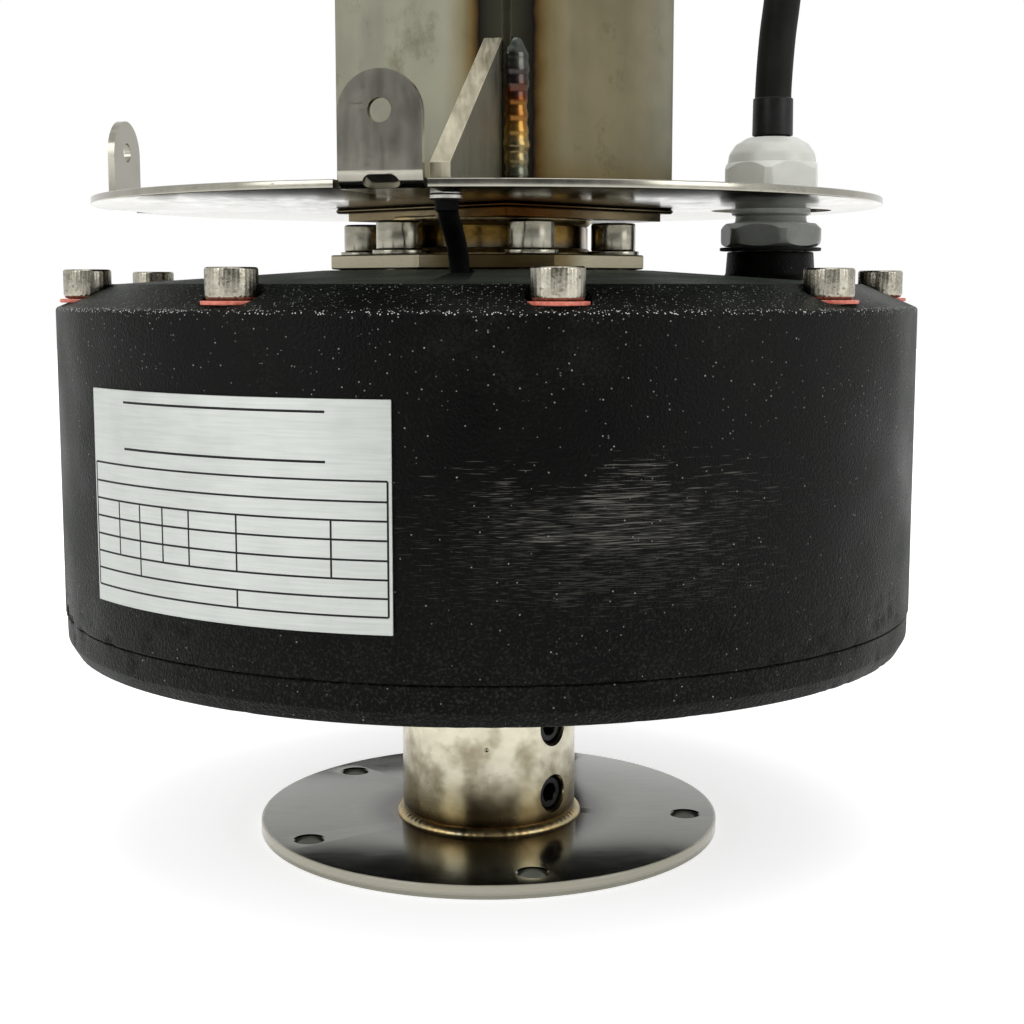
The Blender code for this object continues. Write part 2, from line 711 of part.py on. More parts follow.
def make_column():
    """A base plate, and two folded angles whose edges meet at the front and rear corners."""
    outer = COLUMN_SIDE / sqrt(2)
    inner = outer - COLUMN_WALL * sqrt(2)
    base = bmesh.new()
    add_prism(base, square(outer), base_bottom, base_top)
    place_object("column_base_plate", mesh_from("column_base_plate", base), STEEL)
    seam = GAP / 2
    for name, side in (("column_left", -1), ("column_right", 1)):
        corners = [
            (COLUMN_OFFSET + side * x, y)
            for x, y in (
                (seam, seam - outer),
                (outer, 0),
                (seam, outer - seam),
                (seam, inner - seam),
                (inner, 0),
                (seam, seam - inner),
            )
        ]
        shape = bmesh.new()
        add_prism(shape, corners, column_bottom, column_top)
        place_object(name, mesh_from(name, shape), STEEL)


def add_tab(shape, azimuth):
    """A strip that leaves the disc level and turns up at the rim, with a round top."""
    half = TAB_WIDTH / 2
    rim = sqrt((DISC_DIAMETER / 2) ** 2 - half**2)
    inside = rim - DISC_THICKNESS
    root = rim - TAB_RELIEF[1] - OVERLAP
    bend = inside - TAB_BEND
    lift = disc_top + TAB_BEND
    inner_line = [(root, disc_top)]
    outer_line = [(root, disc_bottom)]
    for i in range(TAB_BEND_STEPS + 1):
        angle = -pi / 2 + pi / 2 * i / TAB_BEND_STEPS
        for line, radius in ((inner_line, TAB_BEND), (outer_line, TAB_BEND + DISC_THICKNESS)):
            line.append((bend + radius * cos(angle), lift + radius * sin(angle)))
    shoulder = disc_bottom + TAB_HEIGHT + DISC_THICKNESS - half
    stations = [(radius, height, half) for radius, height in inner_line]
    mirrored = [(radius, height, half) for radius, height in outer_line]
    for i in range(TAB_CROWN_STEPS):
        angle = pi / 2 * i / TAB_CROWN_STEPS
        stations.append((inside, shoulder + half * sin(angle), half * cos(angle)))
        mirrored.append((rim, shoulder + half * sin(angle), half * cos(angle)))
    place = Matrix.Rotation(radians(azimuth), 4, "Z")
    rings = []
    for (r1, z1, w), (r2, z2, _) in zip(stations, mirrored):
        rings.append([(-w, -r1, z1), (w, -r1, z1), (w, -r2, z2), (-w, -r2, z2)])
    add_loft(shape, rings, place)


def make_disc():
    """The round plate round the column's foot, with tabs turned up from its rim."""
    radius = DISC_DIAMETER / 2
    disc = turned(
        "disc_plate",
        [(0, disc_bottom), (radius, disc_bottom), (radius, disc_top), (0, disc_top)],
        ROUND_LARGE * 2,
        BRIGHT_STEEL,
    )
    low = disc_bottom - OVERLAP
    high = disc_top + OVERLAP
    openings = bmesh.new()
    add_prism(openings, square(COLUMN_SIDE / sqrt(2) + GAP * sqrt(2)), low, high)
    gland = GLAND_HOLE_IN_DISC / 2
    centre = Matrix.Translation((*GLAND_CENTRE, 0))
    add_turned(openings, [(0, low), (gland, low), (gland, high), (0, high)], ROUND_MEDIUM, centre)
    half = TAB_WIDTH / 2 + TAB_RELIEF[0]
    for azimuth in TAB_AZIMUTHS:
        turn = Matrix.Rotation(radians(azimuth), 4, "Z")
        notch = radius - TAB_RELIEF[1]
        corners = [(-half, -notch), (half, -notch), (half, -2 * radius), (-half, -2 * radius)]
        add_prism(openings, corners, low, high, turn)
    combine(disc, "DIFFERENCE", openings)
    tabs = bmesh.new()
    for azimuth in TAB_AZIMUTHS:
        add_tab(tabs, azimuth)
    combine(disc, "UNION", tabs)
    piercings = bmesh.new()
    hole_height = disc_bottom + TAB_HEIGHT + DISC_THICKNESS - TAB_HOLE_DROP
    slot_length, slot_width = TAB_SLOT
    reach = 3 * DISC_THICKNESS
    for azimuth in TAB_AZIMUTHS:
        turn = Matrix.Rotation(radians(azimuth), 4, "Z")
        across = turn @ Matrix.Translation((0, -radius, hole_height)) @ Matrix.Rotation(pi / 2, 4, "X")
        bore = TAB_HOLE_DIAMETER / 2
        add_turned(
            piercings, [(0, -reach), (bore, -reach), (bore, reach), (0, reach)], ROUND_SMALL, across
        )
        near = radius - DISC_THICKNESS - TAB_BEND - slot_width
        slot = [(-slot_length / 2, -near), (slot_length / 2, -near)]
        slot += [(slot_length / 2, -near - slot_width), (-slot_length / 2, -near - slot_width)]
        add_prism(piercings, slot, low, disc_top + TAB_BEND / 2, turn)
    combine(disc, "DIFFERENCE", piercings)


def make_gusset():
    """A triangular brace on the column's front corner, mitred where it meets the column."""
    low = disc_top + GAP
    half = GUSSET_THICKNESS / 2
    side_view = [
        (-GUSSET_LENGTH / 3, low),
        (GUSSET_LENGTH, low),
        (GUSSET_LENGTH, low + GUSSET_TOE_HEIGHT),
        (0, low + GUSSET_HEIGHT),
        (-GUSSET_LENGTH / 3, low + GUSSET_HEIGHT),
    ]
    place = Matrix.Translation((*GUSSET_ROOT, 0)) @ Matrix.Rotation(radians(-GUSSET_AZIMUTH), 4, "Z")
    shape = bmesh.new()
    add_loft(shape, [[(x, -s, z) for s, z in side_view] for x in (-half, half)], place)
    gusset = place_object("gusset", mesh_from("gusset", shape), STEEL)
    cutter = bmesh.new()
    seat = square(COLUMN_SIDE / sqrt(2) + GAP * sqrt(2))
    add_prism(cutter, seat, low - OVERLAP, low + GUSSET_HEIGHT + OVERLAP)
    combine(gusset, "DIFFERENCE", cutter)


# ---------------------------------------------------------------- gland and earth lead


def make_gland():
    """A plastic cable gland: sealing washer, body with two threads, and domed nut."""
    x, y = GLAND_CENTRE
    centre = (x, y, 0)
    thread = GLAND_THREAD_DIAMETER / 2
    cable = CABLE_DIAMETER / 2 + GAP
    washer = [
        (thread + GAP, gland_washer_bottom),
        (GLAND_WASHER_DIAMETER / 2, gland_washer_bottom),
        (GLAND_WASHER_DIAMETER / 2, gland_washer_top),
        (thread + GAP, gland_washer_top),
    ]
    turned("gland_washer", washer, ROUND_MEDIUM, BLACK_RUBBER, None, centre)
    neck = GLAND_NECK_DIAMETER / 2
    neck_top_height = gland_hex_top + GLAND_NECK_LENGTH
    shank_end = top_underside - OVERLAP
    sides = ROUND_MEDIUM
    body = bmesh.new()
    rings = [
        circle(cable, shank_end, sides),
        circle(thread, shank_end, sides),
        circle(thread, gland_hex_bottom, sides),
        hexagon(GLAND_ACROSS_FLATS, gland_hex_bottom, sides),
        hexagon(GLAND_ACROSS_FLATS, gland_hex_top, sides),
        circle(neck, gland_hex_top, sides),
        circle(neck, neck_top_height, sides),
        circle(cable, neck_top_height, sides),
    ]
    add_loft(body, rings, ends=False)
    place_object("gland_body", mesh_from("gland_body", body), GREY_PLASTIC, None, centre)
    nut = bmesh.new()
    dome = GLAND_DOME_DIAMETER / 2
    shoulder = dome + GLAND_DOME_FULLNESS * (GLAND_NUT_ACROSS_FLATS / 2 - dome)
    rings = [
        circle(neck + GAP, gland_nut_bottom, sides),
        hexagon(GLAND_NUT_ACROSS_FLATS, gland_nut_bottom, sides),
        hexagon(GLAND_NUT_ACROSS_FLATS, gland_nut_top, sides),
        circle(shoulder, (gland_nut_top + gland_top) / 2, sides),
        circle(dome, gland_top, sides),
        circle(cable, gland_top, sides),
        circle(cable, neck_top_height + GAP, sides),
        circle(neck + GAP, neck_top_height + GAP, sides),
    ]
    add_loft(nut, rings, ends=False)
    place_object("gland_cap", mesh_from("gland_cap", nut), GREY_PLASTIC, None, centre)


def make_earth_lead():
    """A short bonding lead from the cast boss to a lug under the disc."""
    route = [(x, y, rim_height + rise) for x, y, rise in EARTH_LEAD_ROUTE]
    points = smooth_through(route, 9)
    tube_along("earth_lead", points, EARTH_LEAD_DIAMETER, 2, BLACK_RUBBER)
    top = disc_bottom - GAP
    half = EARTH_LUG_WIDTH / 2
    start = Vector(route[-1])
    far = -EARTH_LUG_LENGTH
    corners = [(-half, 0), (half, 0), (half, far + half), (half / 2, far)]
    corners += [(-half / 2, far), (-half, far + half)]
    shape = bmesh.new()
    add_prism(shape, corners, top - EARTH_LUG_THICKNESS, top)
    seat = (start.x, start.y, 0)
    lug = place_object("earth_lug", mesh_from("earth_lug", shape), BRIGHT_STEEL, None, seat)
    strap = bmesh.new()
    near = -2 * GAP
    strap_corners = [(-half / 2, near), (half / 2, near), (half / 2, -half), (-half / 2, -half)]
    add_prism(strap, strap_corners, start.z - half / 2, top - EARTH_LUG_THICKNESS / 2)
    combine(lug, "UNION", strap)


# ---------------------------------------------------------------- rotor


def make_shaft(axis):
    thin = SHAFT_DIAMETER / 2
    seat = SHAFT_ROTOR_DIAMETER / 2
    top = SHAFT_TOP_DIAMETER / 2
    outline = [
        (0, SHAFT_END_RECESS),
        (thin, SHAFT_END_RECESS),
        (thin, shoulder_bottom),
        (SHAFT_SHOULDER_DIAMETER / 2, shoulder_bottom),
        (SHAFT_SHOULDER_DIAMETER / 2, lower_disc_bottom - GAP),
        (seat, lower_disc_bottom - GAP),
        (seat, shaft_step),
        (top, shaft_step),
        (top, upper_bearing_top),
        (0, upper_bearing_top),
    ]
    turned("shaft", outline, ROUND_MEDIUM, BRIGHT_STEEL, axis)


def make_rotor_disc(name, axis, bottom, magnets_up):
    """A soft iron disc with a ring of sector magnets bonded to one face."""
    top = bottom + ROTOR_DISC_THICKNESS
    bore = SHAFT_ROTOR_DIAMETER / 2 + GAP
    rim = ROTOR_DISC_DIAMETER / 2
    disc = turned(
        name, [(bore, bottom), (rim, bottom), (rim, top), (bore, top)], ROUND_MEDIUM, SOFT_IRON, axis
    )
    outer = rim * cos(pi / ROUND_MEDIUM) - MAGNET_OUTER_INSET
    inner = outer - MAGNET_LENGTH
    if magnets_up:
        low = top - OVERLAP
        high = top + MAGNET_THICKNESS
    else:
        low = bottom - MAGNET_THICKNESS
        high = bottom + OVERLAP
    magnets = bmesh.new()
    for i in range(POLE_COUNT):
        middle = 360 * (i + 0.5) / POLE_COUNT
        edges = (middle - MAGNET_SPAN / 2, middle + MAGNET_SPAN / 2)
        corners = [on_azimuth(inner, edges[0]).xy, on_azimuth(outer, edges[0]).xy]
        corners += [on_azimuth(outer, edges[1]).xy, on_azimuth(inner, edges[1]).xy]
        add_prism(magnets, corners, low, high)
    combine(disc, "UNION", magnets)


def make_rotor(axis):
    make_shaft(axis)
    make_rotor_disc("lower_rotor_disc", axis, lower_disc_bottom, magnets_up=True)
    make_rotor_disc("upper_rotor_disc", axis, upper_disc_bottom, magnets_up=False)
    bore = SHAFT_ROTOR_DIAMETER / 2 + GAP
    low = lower_disc_top + GAP
    high = upper_disc_bottom - GAP
    rim = SPACER_DIAMETER / 2
    section = [(bore, low), (rim, low), (rim, high), (bore, high)]
    turned("rotor_spacer", section, ROUND_MEDIUM, STEEL, axis)
    nut = bmesh.new()
    nut_bottom = upper_disc_top + GAP
    nut_top = nut_bottom + ROTOR_NUT_HEIGHT
    # The bore has few sides, so its flats are set outside the shaft's thread.
    clear_bore = bore / cos(pi / ROUND_SMALL)
    rings = [
        circle(clear_bore, nut_bottom, ROUND_SMALL),
        hexagon(ROTOR_NUT_ACROSS_FLATS, nut_bottom, ROUND_SMALL),
        hexagon(ROTOR_NUT_ACROSS_FLATS, nut_top, ROUND_SMALL),
        circle(clear_bore, nut_top, ROUND_SMALL),
    ]
    add_loft(nut, rings, ends=False)
    place_object("rotor_nut", mesh_from("rotor_nut", nut), STEEL, axis)


def make_hub(axis):
    """A drilled flange and a collar that grips the shaft with two grub screws."""
    bore = SHAFT_DIAMETER / 2 + GAP
    rim = HUB_FLANGE_DIAMETER / 2
    flange = turned(
        "hub_flange",
        [(bore, 0), (rim, 0), (rim, HUB_FLANGE_THICKNESS), (bore, HUB_FLANGE_THICKNESS)],
        ROUND_LARGE,
        STEEL,
        axis,
    )
    holes = bmesh.new()
    drill = HUB_HOLE_DIAMETER / 2
    low = -OVERLAP
    high = HUB_FLANGE_THICKNESS + OVERLAP
    places = screw_places(HUB_HOLE_COUNT, HUB_HOLE_CIRCLE / 2, HUB_HOLE_AZIMUTH)
    for azimuth, centre in places:
        outline = [(0, low), (drill, low), (drill, high), (0, high)]
        add_turned(holes, outline, ROUND_SMALL, Matrix.Translation(centre))
    combine(flange, "DIFFERENCE", holes)

    collar_rim = COLLAR_DIAMETER / 2
    section = [(bore, collar_bottom), (collar_rim, collar_bottom)]
    section += [(collar_rim, collar_top), (bore, collar_top)]
    collar = turned("hub_collar", section, ROUND_MEDIUM, STEEL, axis)
    tapped = bmesh.new()
    outward = Matrix.Rotation(radians(GRUB_SCREW_AZIMUTH), 4, "Z") @ Matrix.Rotation(pi / 2, 4, "X")
    hole = GRUB_SCREW_DIAMETER / 2 + GAP
    start = bore - OVERLAP
    end = collar_rim + OVERLAP
    grub = bmesh.new()
    thread = GRUB_SCREW_DIAMETER / 2
    socket_depth = GRUB_SCREW_LENGTH / 2
    rings = [
        circle(thread, 0, ROUND_SMALL),
        circle(thread, GRUB_SCREW_LENGTH, ROUND_SMALL),
        hexagon(GRUB_SOCKET_ACROSS_FLATS, GRUB_SCREW_LENGTH, ROUND_SMALL),
        hexagon(GRUB_SOCKET_ACROSS_FLATS, GRUB_SCREW_LENGTH - socket_depth, ROUND_SMALL),
    ]
    add_loft(grub, rings, outward)
    grub_mesh = mesh_from("grub_screw", grub)
    tip = on_azimuth(bore, GRUB_SCREW_AZIMUTH)
    for name, rise in zip(("grub_screw_lower", "grub_screw_upper"), GRUB_SCREW_RISES):
        height = collar_bottom + rise
        place = Matrix.Translation((0, 0, height)) @ outward
        outline = [(0, start), (hole, start), (hole, end), (0, end)]
        add_turned(tapped, outline, ROUND_SMALL, place)
        place_object(name, grub_mesh, BLACK_STEEL, axis, (tip.x, tip.y, height))
    combine(collar, "DIFFERENCE", tapped)


# ---------------------------------------------------------------- bearings


def make_bearing(name, outside, bore, bottom, width, rotor_axis, ball_axis):
    """An inner ring on the shaft, an outer ring in the housing, and the balls in their cage."""
    inner_bore = bore / 2 + GAP
    rim = outside / 2
    ring = BEARING_RING_SHARE * (rim - inner_bore)
    race_in = inner_bore + ring
    race_out = rim - ring
    pitch = (race_in + race_out) / 2
    ball = BEARING_BALL_DIAMETER / 2
    top = bottom + width
    middle = (bottom + top) / 2
    groove = width * 0.3
    groove_in = pitch - ball - GAP
    groove_out = pitch + ball + GAP
    inner = [
        (inner_bore, bottom),
        (race_in, bottom),
        (race_in, middle - groove),
        (groove_in, middle),
        (race_in, middle + groove),
        (race_in, top),
        (inner_bore, top),
    ]
    outer = [
        (rim, top),
        (race_out, top),
        (race_out, middle + groove),
        (groove_out / cos(pi / ROUND_MEDIUM), middle),
        (race_out, middle - groove),
        (race_out, bottom),
        (rim, bottom),
    ]
    turned(f"{name}_bearing_inner_ring", inner, ROUND_MEDIUM, BRIGHT_STEEL, rotor_axis)
    turned(f"{name}_bearing_outer_ring", outer, ROUND_MEDIUM, BRIGHT_STEEL)
    half_cage = CAGE_THICKNESS / 2
    half_width = CAGE_WIDTH / 2
    cage = [
        (pitch - half_cage, -half_width),
        (pitch + half_cage, -half_width),
        (pitch + half_cage, half_width),
        (pitch - half_cage, half_width),
    ]
    ball_axis.location.z = middle
    balls = turned(f"{name}_bearing_balls", cage, ROUND_MEDIUM, BRIGHT_STEEL, ball_axis)
    latitude = radians(60)
    joined = bmesh.new()
    for i in range(BALLS_PER_BEARING):
        centre = on_azimuth(pitch, 360 * i / BALLS_PER_BEARING)
        outline = [
            (ball * cos(latitude), -ball * sin(latitude)),
            (ball, 0),
            (ball * cos(latitude), ball * sin(latitude)),
        ]
        profile = [(0, outline[0][1])] + outline + [(0, outline[-1][1])]
        add_turned(joined, profile, BALL_SIDES, Matrix.Translation(centre))
    combine(balls, "UNION", joined)


def make_shaft_seal():
    low = seal_bottom
    high = low + SEAL_WIDTH
    rim = SEAL_DIAMETER / 2
    lip = SHAFT_DIAMETER / 2 + GAP
    waist = (lip + rim) / 2
    web = low + SEAL_WIDTH / 2
    outline = [(rim, low), (rim, high), (waist, high), (waist, web), (lip, web), (lip, low)]
    turned("shaft_seal", outline, ROUND_MEDIUM, BLACK_RUBBER)


# ---------------------------------------------------------------- cable


def make_cable():
    """The free cable as plain solids: its run to the floor, its coil, and its bare end."""
    points = smooth_through(CABLE_ROUTE, CABLE_LEAD_POINTS)
    tube_along("cable_lead", points, CABLE_DIAMETER, 2, BLACK_RUBBER)
    half = COIL_ROWS * CABLE_DIAMETER / 2
    low = GAP
    high = low + COIL_LAYERS * CABLE_DIAMETER
    x, y = COIL_CENTRE
    section = [
        (COIL_MEAN_RADIUS - half, low),
        (COIL_MEAN_RADIUS + half, low),
        (COIL_MEAN_RADIUS + half, high),
        (COIL_MEAN_RADIUS - half, high),
    ]
    turned("cable_coil", section, ROUND_LARGE, BLACK_RUBBER, None, (x, y, 0))
    boot = CABLE_BOOT_DIAMETER / 2
    cores = CABLE_CORES_DIAMETER / 2
    outline = [
        (0, 0),
        (boot, 0),
        (boot, CABLE_BOOT_LENGTH),
        (cores, CABLE_BOOT_LENGTH),
        (cores, CABLE_BOOT_LENGTH + CABLE_CORES_LENGTH),
        (0, CABLE_BOOT_LENGTH + CABLE_CORES_LENGTH),
    ]
    turn = Matrix.Rotation(radians(CABLE_END_TURN), 4, "Z")
    lie_down = Matrix.Rotation(pi / 2, 4, "Y")
    middle = -(CABLE_BOOT_LENGTH + CABLE_CORES_LENGTH) / 2
    place = turn @ Matrix.Translation((middle, -COIL_MEAN_RADIUS, high + GAP + boot)) @ lie_down
    shape = bmesh.new()
    add_turned(shape, outline, ROUND_SMALL, place)
    place_object("cable_end", mesh_from("cable_end", shape), BLACK_RUBBER, None, (x, y, 0))


# ---------------------------------------------------------------- assembly


def add_axis(name, height):
    """An empty on the shaft line that a turning group hangs from."""
    empty = bpy.data.objects.new(name, None)
    empty.location = (0, 0, height)
    empty.empty_display_size = HUB_FLANGE_DIAMETER
    bpy.context.scene.collection.objects.link(empty)
    return empty


def clear_scene():
    for item in list(bpy.data.objects):
        bpy.data.objects.remove(item)


def main():
    clear_scene()
    rotor_axis = add_axis("rotor_axis", 0)
    lower_ball_axis = add_axis("lower_ball_axis", lower_bearing_bottom)
    upper_ball_axis = add_axis("upper_ball_axis", upper_bearing_bottom)
    make_drum()
    make_cover()
    make_stator()
    make_casing_screws()
    make_rating_plate()
    make_flange_plate()
    make_neck()
    make_column()
    make_disc()
    make_gusset()
    make_gland()
    make_earth_lead()
    make_rotor(rotor_axis)
    make_hub(rotor_axis)
    make_shaft_seal()
    make_bearing(
        "lower",
        LOWER_BEARING_DIAMETER,
        SHAFT_DIAMETER,
        lower_bearing_bottom,
        LOWER_BEARING_WIDTH,
        rotor_axis,
        lower_ball_axis,
    )
    make_bearing(
        "upper",
        UPPER_BEARING_DIAMETER,
        SHAFT_TOP_DIAMETER,
        upper_bearing_bottom,
        UPPER_BEARING_WIDTH,
        rotor_axis,
        upper_ball_axis,
    )
    make_cable()


main()
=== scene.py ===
# %% [markdown]
# # Generator head of a vertical axis turbine
#
# A black drum-shaped generator hangs under a square steel column. The hub flange below it
# turns. Above it sit a bolted plate, a polished disc with turned-up tabs, a welded gusset and
# a cable gland. The pieces that carry load are already fixed by the frame, so this lesson
# makes their surfaces: smoother shapes where the frame is coarse, and a finish for each.

from math import atan2, cos, degrees, hypot, pi, radians, sin, sqrt

import bmesh
import bpy
from mathutils import Matrix, Vector, noise
from mathutils.geometry import convex_hull_2d


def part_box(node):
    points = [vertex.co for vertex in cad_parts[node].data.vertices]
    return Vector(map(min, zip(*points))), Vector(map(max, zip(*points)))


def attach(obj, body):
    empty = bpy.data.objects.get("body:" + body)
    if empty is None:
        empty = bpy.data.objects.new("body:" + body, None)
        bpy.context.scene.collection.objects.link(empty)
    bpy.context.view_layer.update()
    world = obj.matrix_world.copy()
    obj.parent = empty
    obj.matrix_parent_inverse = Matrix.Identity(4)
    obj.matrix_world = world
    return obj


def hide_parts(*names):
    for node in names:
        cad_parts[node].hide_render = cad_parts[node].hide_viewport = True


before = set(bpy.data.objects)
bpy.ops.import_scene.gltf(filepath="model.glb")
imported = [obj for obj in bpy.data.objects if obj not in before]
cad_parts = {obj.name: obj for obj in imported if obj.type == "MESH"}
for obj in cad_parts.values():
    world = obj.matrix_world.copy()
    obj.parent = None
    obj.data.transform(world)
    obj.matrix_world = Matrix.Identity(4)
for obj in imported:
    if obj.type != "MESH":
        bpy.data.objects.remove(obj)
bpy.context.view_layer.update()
MM = 0.001

# %% [markdown]
# Colours are written the way a paint chart gives them, as sRGB hex. Blender shades in linear
# light, so one function converts them. A second small function adds a shader node, sets its
# values and makes its links, which keeps every material short enough to read at a glance.


# %% Colour and node helpers
def linear(hex_colour):
    """sRGB hex such as "8e8a80" as a linear RGBA colour."""
    channels = [int(hex_colour[i:i + 2], 16) / 255 for i in (0, 2, 4)]
    return (*[c / 12.92 if c <= 0.04045 else ((c + 0.055) / 1.055) ** 2.4 for c in channels], 1.0)


def add_node(tree, kind, links=None, stops=None, **settings):
    """Adds a node. links holds its inputs: a socket is linked, anything else is set as a value."""
    node = tree.nodes.new("ShaderNode" + kind)
    for name, value in settings.items():
        setattr(node, name, value)
    for name, value in (links or {}).items():
        if isinstance(value, bpy.types.NodeSocket):
            tree.links.new(value, node.inputs[name])
        else:
            node.inputs[name].default_value = value
    if stops:
        elements = node.color_ramp.elements
        while len(elements) < len(stops):
            elements.new(0.5)
        for element, (position, colour) in zip(elements, stops):
            element.position = position
            element.color = linear(colour) if isinstance(colour, str) else (*[colour] * 3, 1.0)
    return node


def new_material(name, **surface):
    """A material with its Principled shader's own sockets set. Returns (material, tree, shader)."""
    material = bpy.data.materials.new(name)
    material.use_nodes = True
    tree = material.node_tree
    shader = tree.nodes["Principled BSDF"]
    for socket, value in surface.items():
        shader.inputs[socket.replace("_", " ")].default_value = value
    return material, tree, shader


def per_mm(size):
    """The Scale that gives a pattern features of this size in millimetres."""
    return 1 / (size * MM)


print("8e8a80 in linear light:", [round(c, 3) for c in linear("8e8a80")])

# %% [markdown]
# The camera stands a little over half a metre from the shaft, about level with the top of the
# drum, and looks slightly down. A long lens keeps the drum's sides nearly upright.

# %% Camera
SENSOR_WIDTH = 36.0  # mm
FOCAL_LENGTH = 60.01875  # mm
CAMERA_PLACE = (0.0, -0.5141, 0.1648)  # metres
CAMERA_PITCH = 0.1317  # radians below the horizon
CAMERA_YAW = 0.0139  # radians towards +X

camera_data = bpy.data.cameras.new("studio_camera")
camera_data.sensor_width = SENSOR_WIDTH
camera_data.lens = FOCAL_LENGTH
camera_data.clip_start = 0.01
camera = bpy.data.objects.new("studio_camera", camera_data)
camera.location = CAMERA_PLACE
camera.rotation_euler = (pi / 2 - CAMERA_PITCH, 0, -CAMERA_YAW)
bpy.context.scene.collection.objects.link(camera)
bpy.context.scene.camera = camera
bpy.context.scene.view_settings.view_transform = "Standard"
print(f"lens {camera_data.lens:.1f} mm, {degrees(CAMERA_PITCH):.1f} degrees down")

# %% [markdown]
# A product studio: a white sweep and large soft lamps. Bare metal shows what stands round it,
# so the world is plain white for the camera and for reflections, and dimmer as a source of
# light. In reflections only the side behind the camera is dim, as in a real studio, which gives
# round steel its darker middle. The lamps are wide panels, which draw soft upright bands on it.

# %% Studio
FLOOR_HALF = 4.0  # metres
AMBIENT = 0.5  # the world's strength as a source of light
DARK_SIDE = 0.15  # how bright the side behind the camera is in reflections
NEAR_GLOW = 0.6  # the floor's glow under the object, which rises to plain white further out

world = bpy.data.worlds.new("white_sweep")
bpy.context.scene.world = world
world.use_nodes = True
sky = world.node_tree
path = add_node(sky, "LightPath")
seen = add_node(sky, "Math", {0: path.outputs["Is Camera Ray"], 1: path.outputs["Is Glossy Ray"]},
                operation="MAXIMUM")
shown = add_node(sky, "Math", {0: seen.outputs[0], 1: path.outputs["Is Transmission Ray"]},
                 operation="MAXIMUM")
level = add_node(sky, "MapRange", {"Value": shown.outputs[0], "To Min": AMBIENT, "To Max": 1.0})
towards = add_node(sky, "SeparateXYZ", {0: add_node(sky, "TexCoord").outputs["Generated"]})
dim_side = add_node(sky, "MapRange", {"Value": towards.outputs["Y"], "From Min": -0.95, "From Max": -0.5,
                                      "To Min": DARK_SIDE, "To Max": 1.0}, interpolation_type="SMOOTHSTEP")
not_camera = add_node(sky, "Math", {0: 1.0, 1: path.outputs["Is Camera Ray"]}, operation="SUBTRACT")
room = add_node(sky, "Mix", {0: not_camera.outputs[0], 2: 1.0, 3: dim_side.outputs[0]})
strength = add_node(sky, "Math", {0: level.outputs[0], 1: room.outputs[0]}, operation="MULTIPLY")
sky.links.new(strength.outputs[0], sky.nodes["Background"].inputs["Strength"])
sky.nodes["Background"].inputs["Color"].default_value = linear("ffffff")
print("world nodes:", len(sky.nodes))

# %% [markdown]
# The sweep is matt white paper. It also glows for the camera and for reflections, so that it
# reads as an even white that keeps the object's soft shadow, and adds no light to the object.

# %% Floor and lamps
floor_mesh = bmesh.new()
bmesh.ops.create_grid(floor_mesh, x_segments=1, y_segments=1, size=FLOOR_HALF)
floor_data = bpy.data.meshes.new("studio_floor")
floor_mesh.to_mesh(floor_data)
floor_mesh.free()
floor = bpy.data.objects.new("studio_floor", floor_data)
bpy.context.scene.collection.objects.link(floor)

sweep, tree, shader = new_material("white_sweep_paper", Roughness=0.9, Specular_IOR_Level=0.0)
shader.inputs["Base Color"].default_value = linear("f4f4f4")
shader.inputs["Emission Color"].default_value = linear("ffffff")
path = add_node(tree, "LightPath")
seen = add_node(tree, "Math", {0: path.outputs["Is Camera Ray"], 1: path.outputs["Is Glossy Ray"]},
                operation="MAXIMUM")
spot = add_node(tree, "VectorMath", {0: add_node(tree, "TexCoord").outputs["Object"]}, operation="LENGTH")
far = add_node(tree, "MapRange", {"Value": spot.outputs["Value"], "From Min": 0.2, "From Max": 0.8,
                                  "To Min": NEAR_GLOW, "To Max": 1.0}, interpolation_type="SMOOTHSTEP")
glow = add_node(tree, "Math", {0: seen.outputs[0], 1: far.outputs[0]}, operation="MULTIPLY")
tree.links.new(glow.outputs[0], shader.inputs["Emission Strength"])
floor_data.materials.append(sweep)

LAMPS = (  # name, place, target height and size in metres, share of the light on a facing white card
    ("left_panel", (-1.15, -1.0, 0.75), 0.13, 0.9, 0.34),
    ("right_panel", (1.25, -0.85, 0.6), 0.13, 0.7, 0.24),
    ("top_panel", (0.1, -0.2, 1.6), 0.15, 1.2, 0.26),
)
for name, place, target_height, size, share in LAMPS:
    lamp = bpy.data.lights.new(name, "AREA")
    lamp.size = size
    aim = Vector((0, 0, target_height)) - Vector(place)
    lamp.energy = share * pi ** 2 * aim.length_squared
    stand = bpy.data.objects.new(name, lamp)
    stand.location = place
    stand.rotation_euler = aim.to_track_quat("-Z", "Y").to_euler()
    bpy.context.scene.collection.objects.link(stand)
    print(name, "watts:", round(lamp.energy, 1))

# %% [markdown]
# Most of the object is turned or extruded, so its shapes are lofts: rings with the same number
# of points, joined one to the next. A turned part is a loft of circles. Real edges are never
# knife sharp, so outlines carry a small radius at each corner, which catches the light.


# %% Shape helpers
def on_azimuth(radius, azimuth, height=0.0):
    """A point at an azimuth in degrees from the front (-Y), positive towards +X."""
    angle = radians(azimuth)
    return Vector((radius * sin(angle), -radius * cos(angle), height))


def circle(radius, height, sides):
    """Points of a level ring about Z."""
    return [
        (radius * cos(2 * pi * i / sides), radius * sin(2 * pi * i / sides), height)
        for i in range(sides)
    ]


def hexagon(across_flats, height, sides, corner_radius=None):
    """A level hexagon with as many points as the circles it joins. corner_radius turns its corners."""
    points = []
    for i in range(sides):
        angle = 2 * pi * i / sides
        radius = across_flats / 2 / cos(angle % (pi / 3) - pi / 6)
        radius = min(radius, corner_radius or radius)
        points.append((radius * cos(angle), radius * sin(angle), height))
    return points


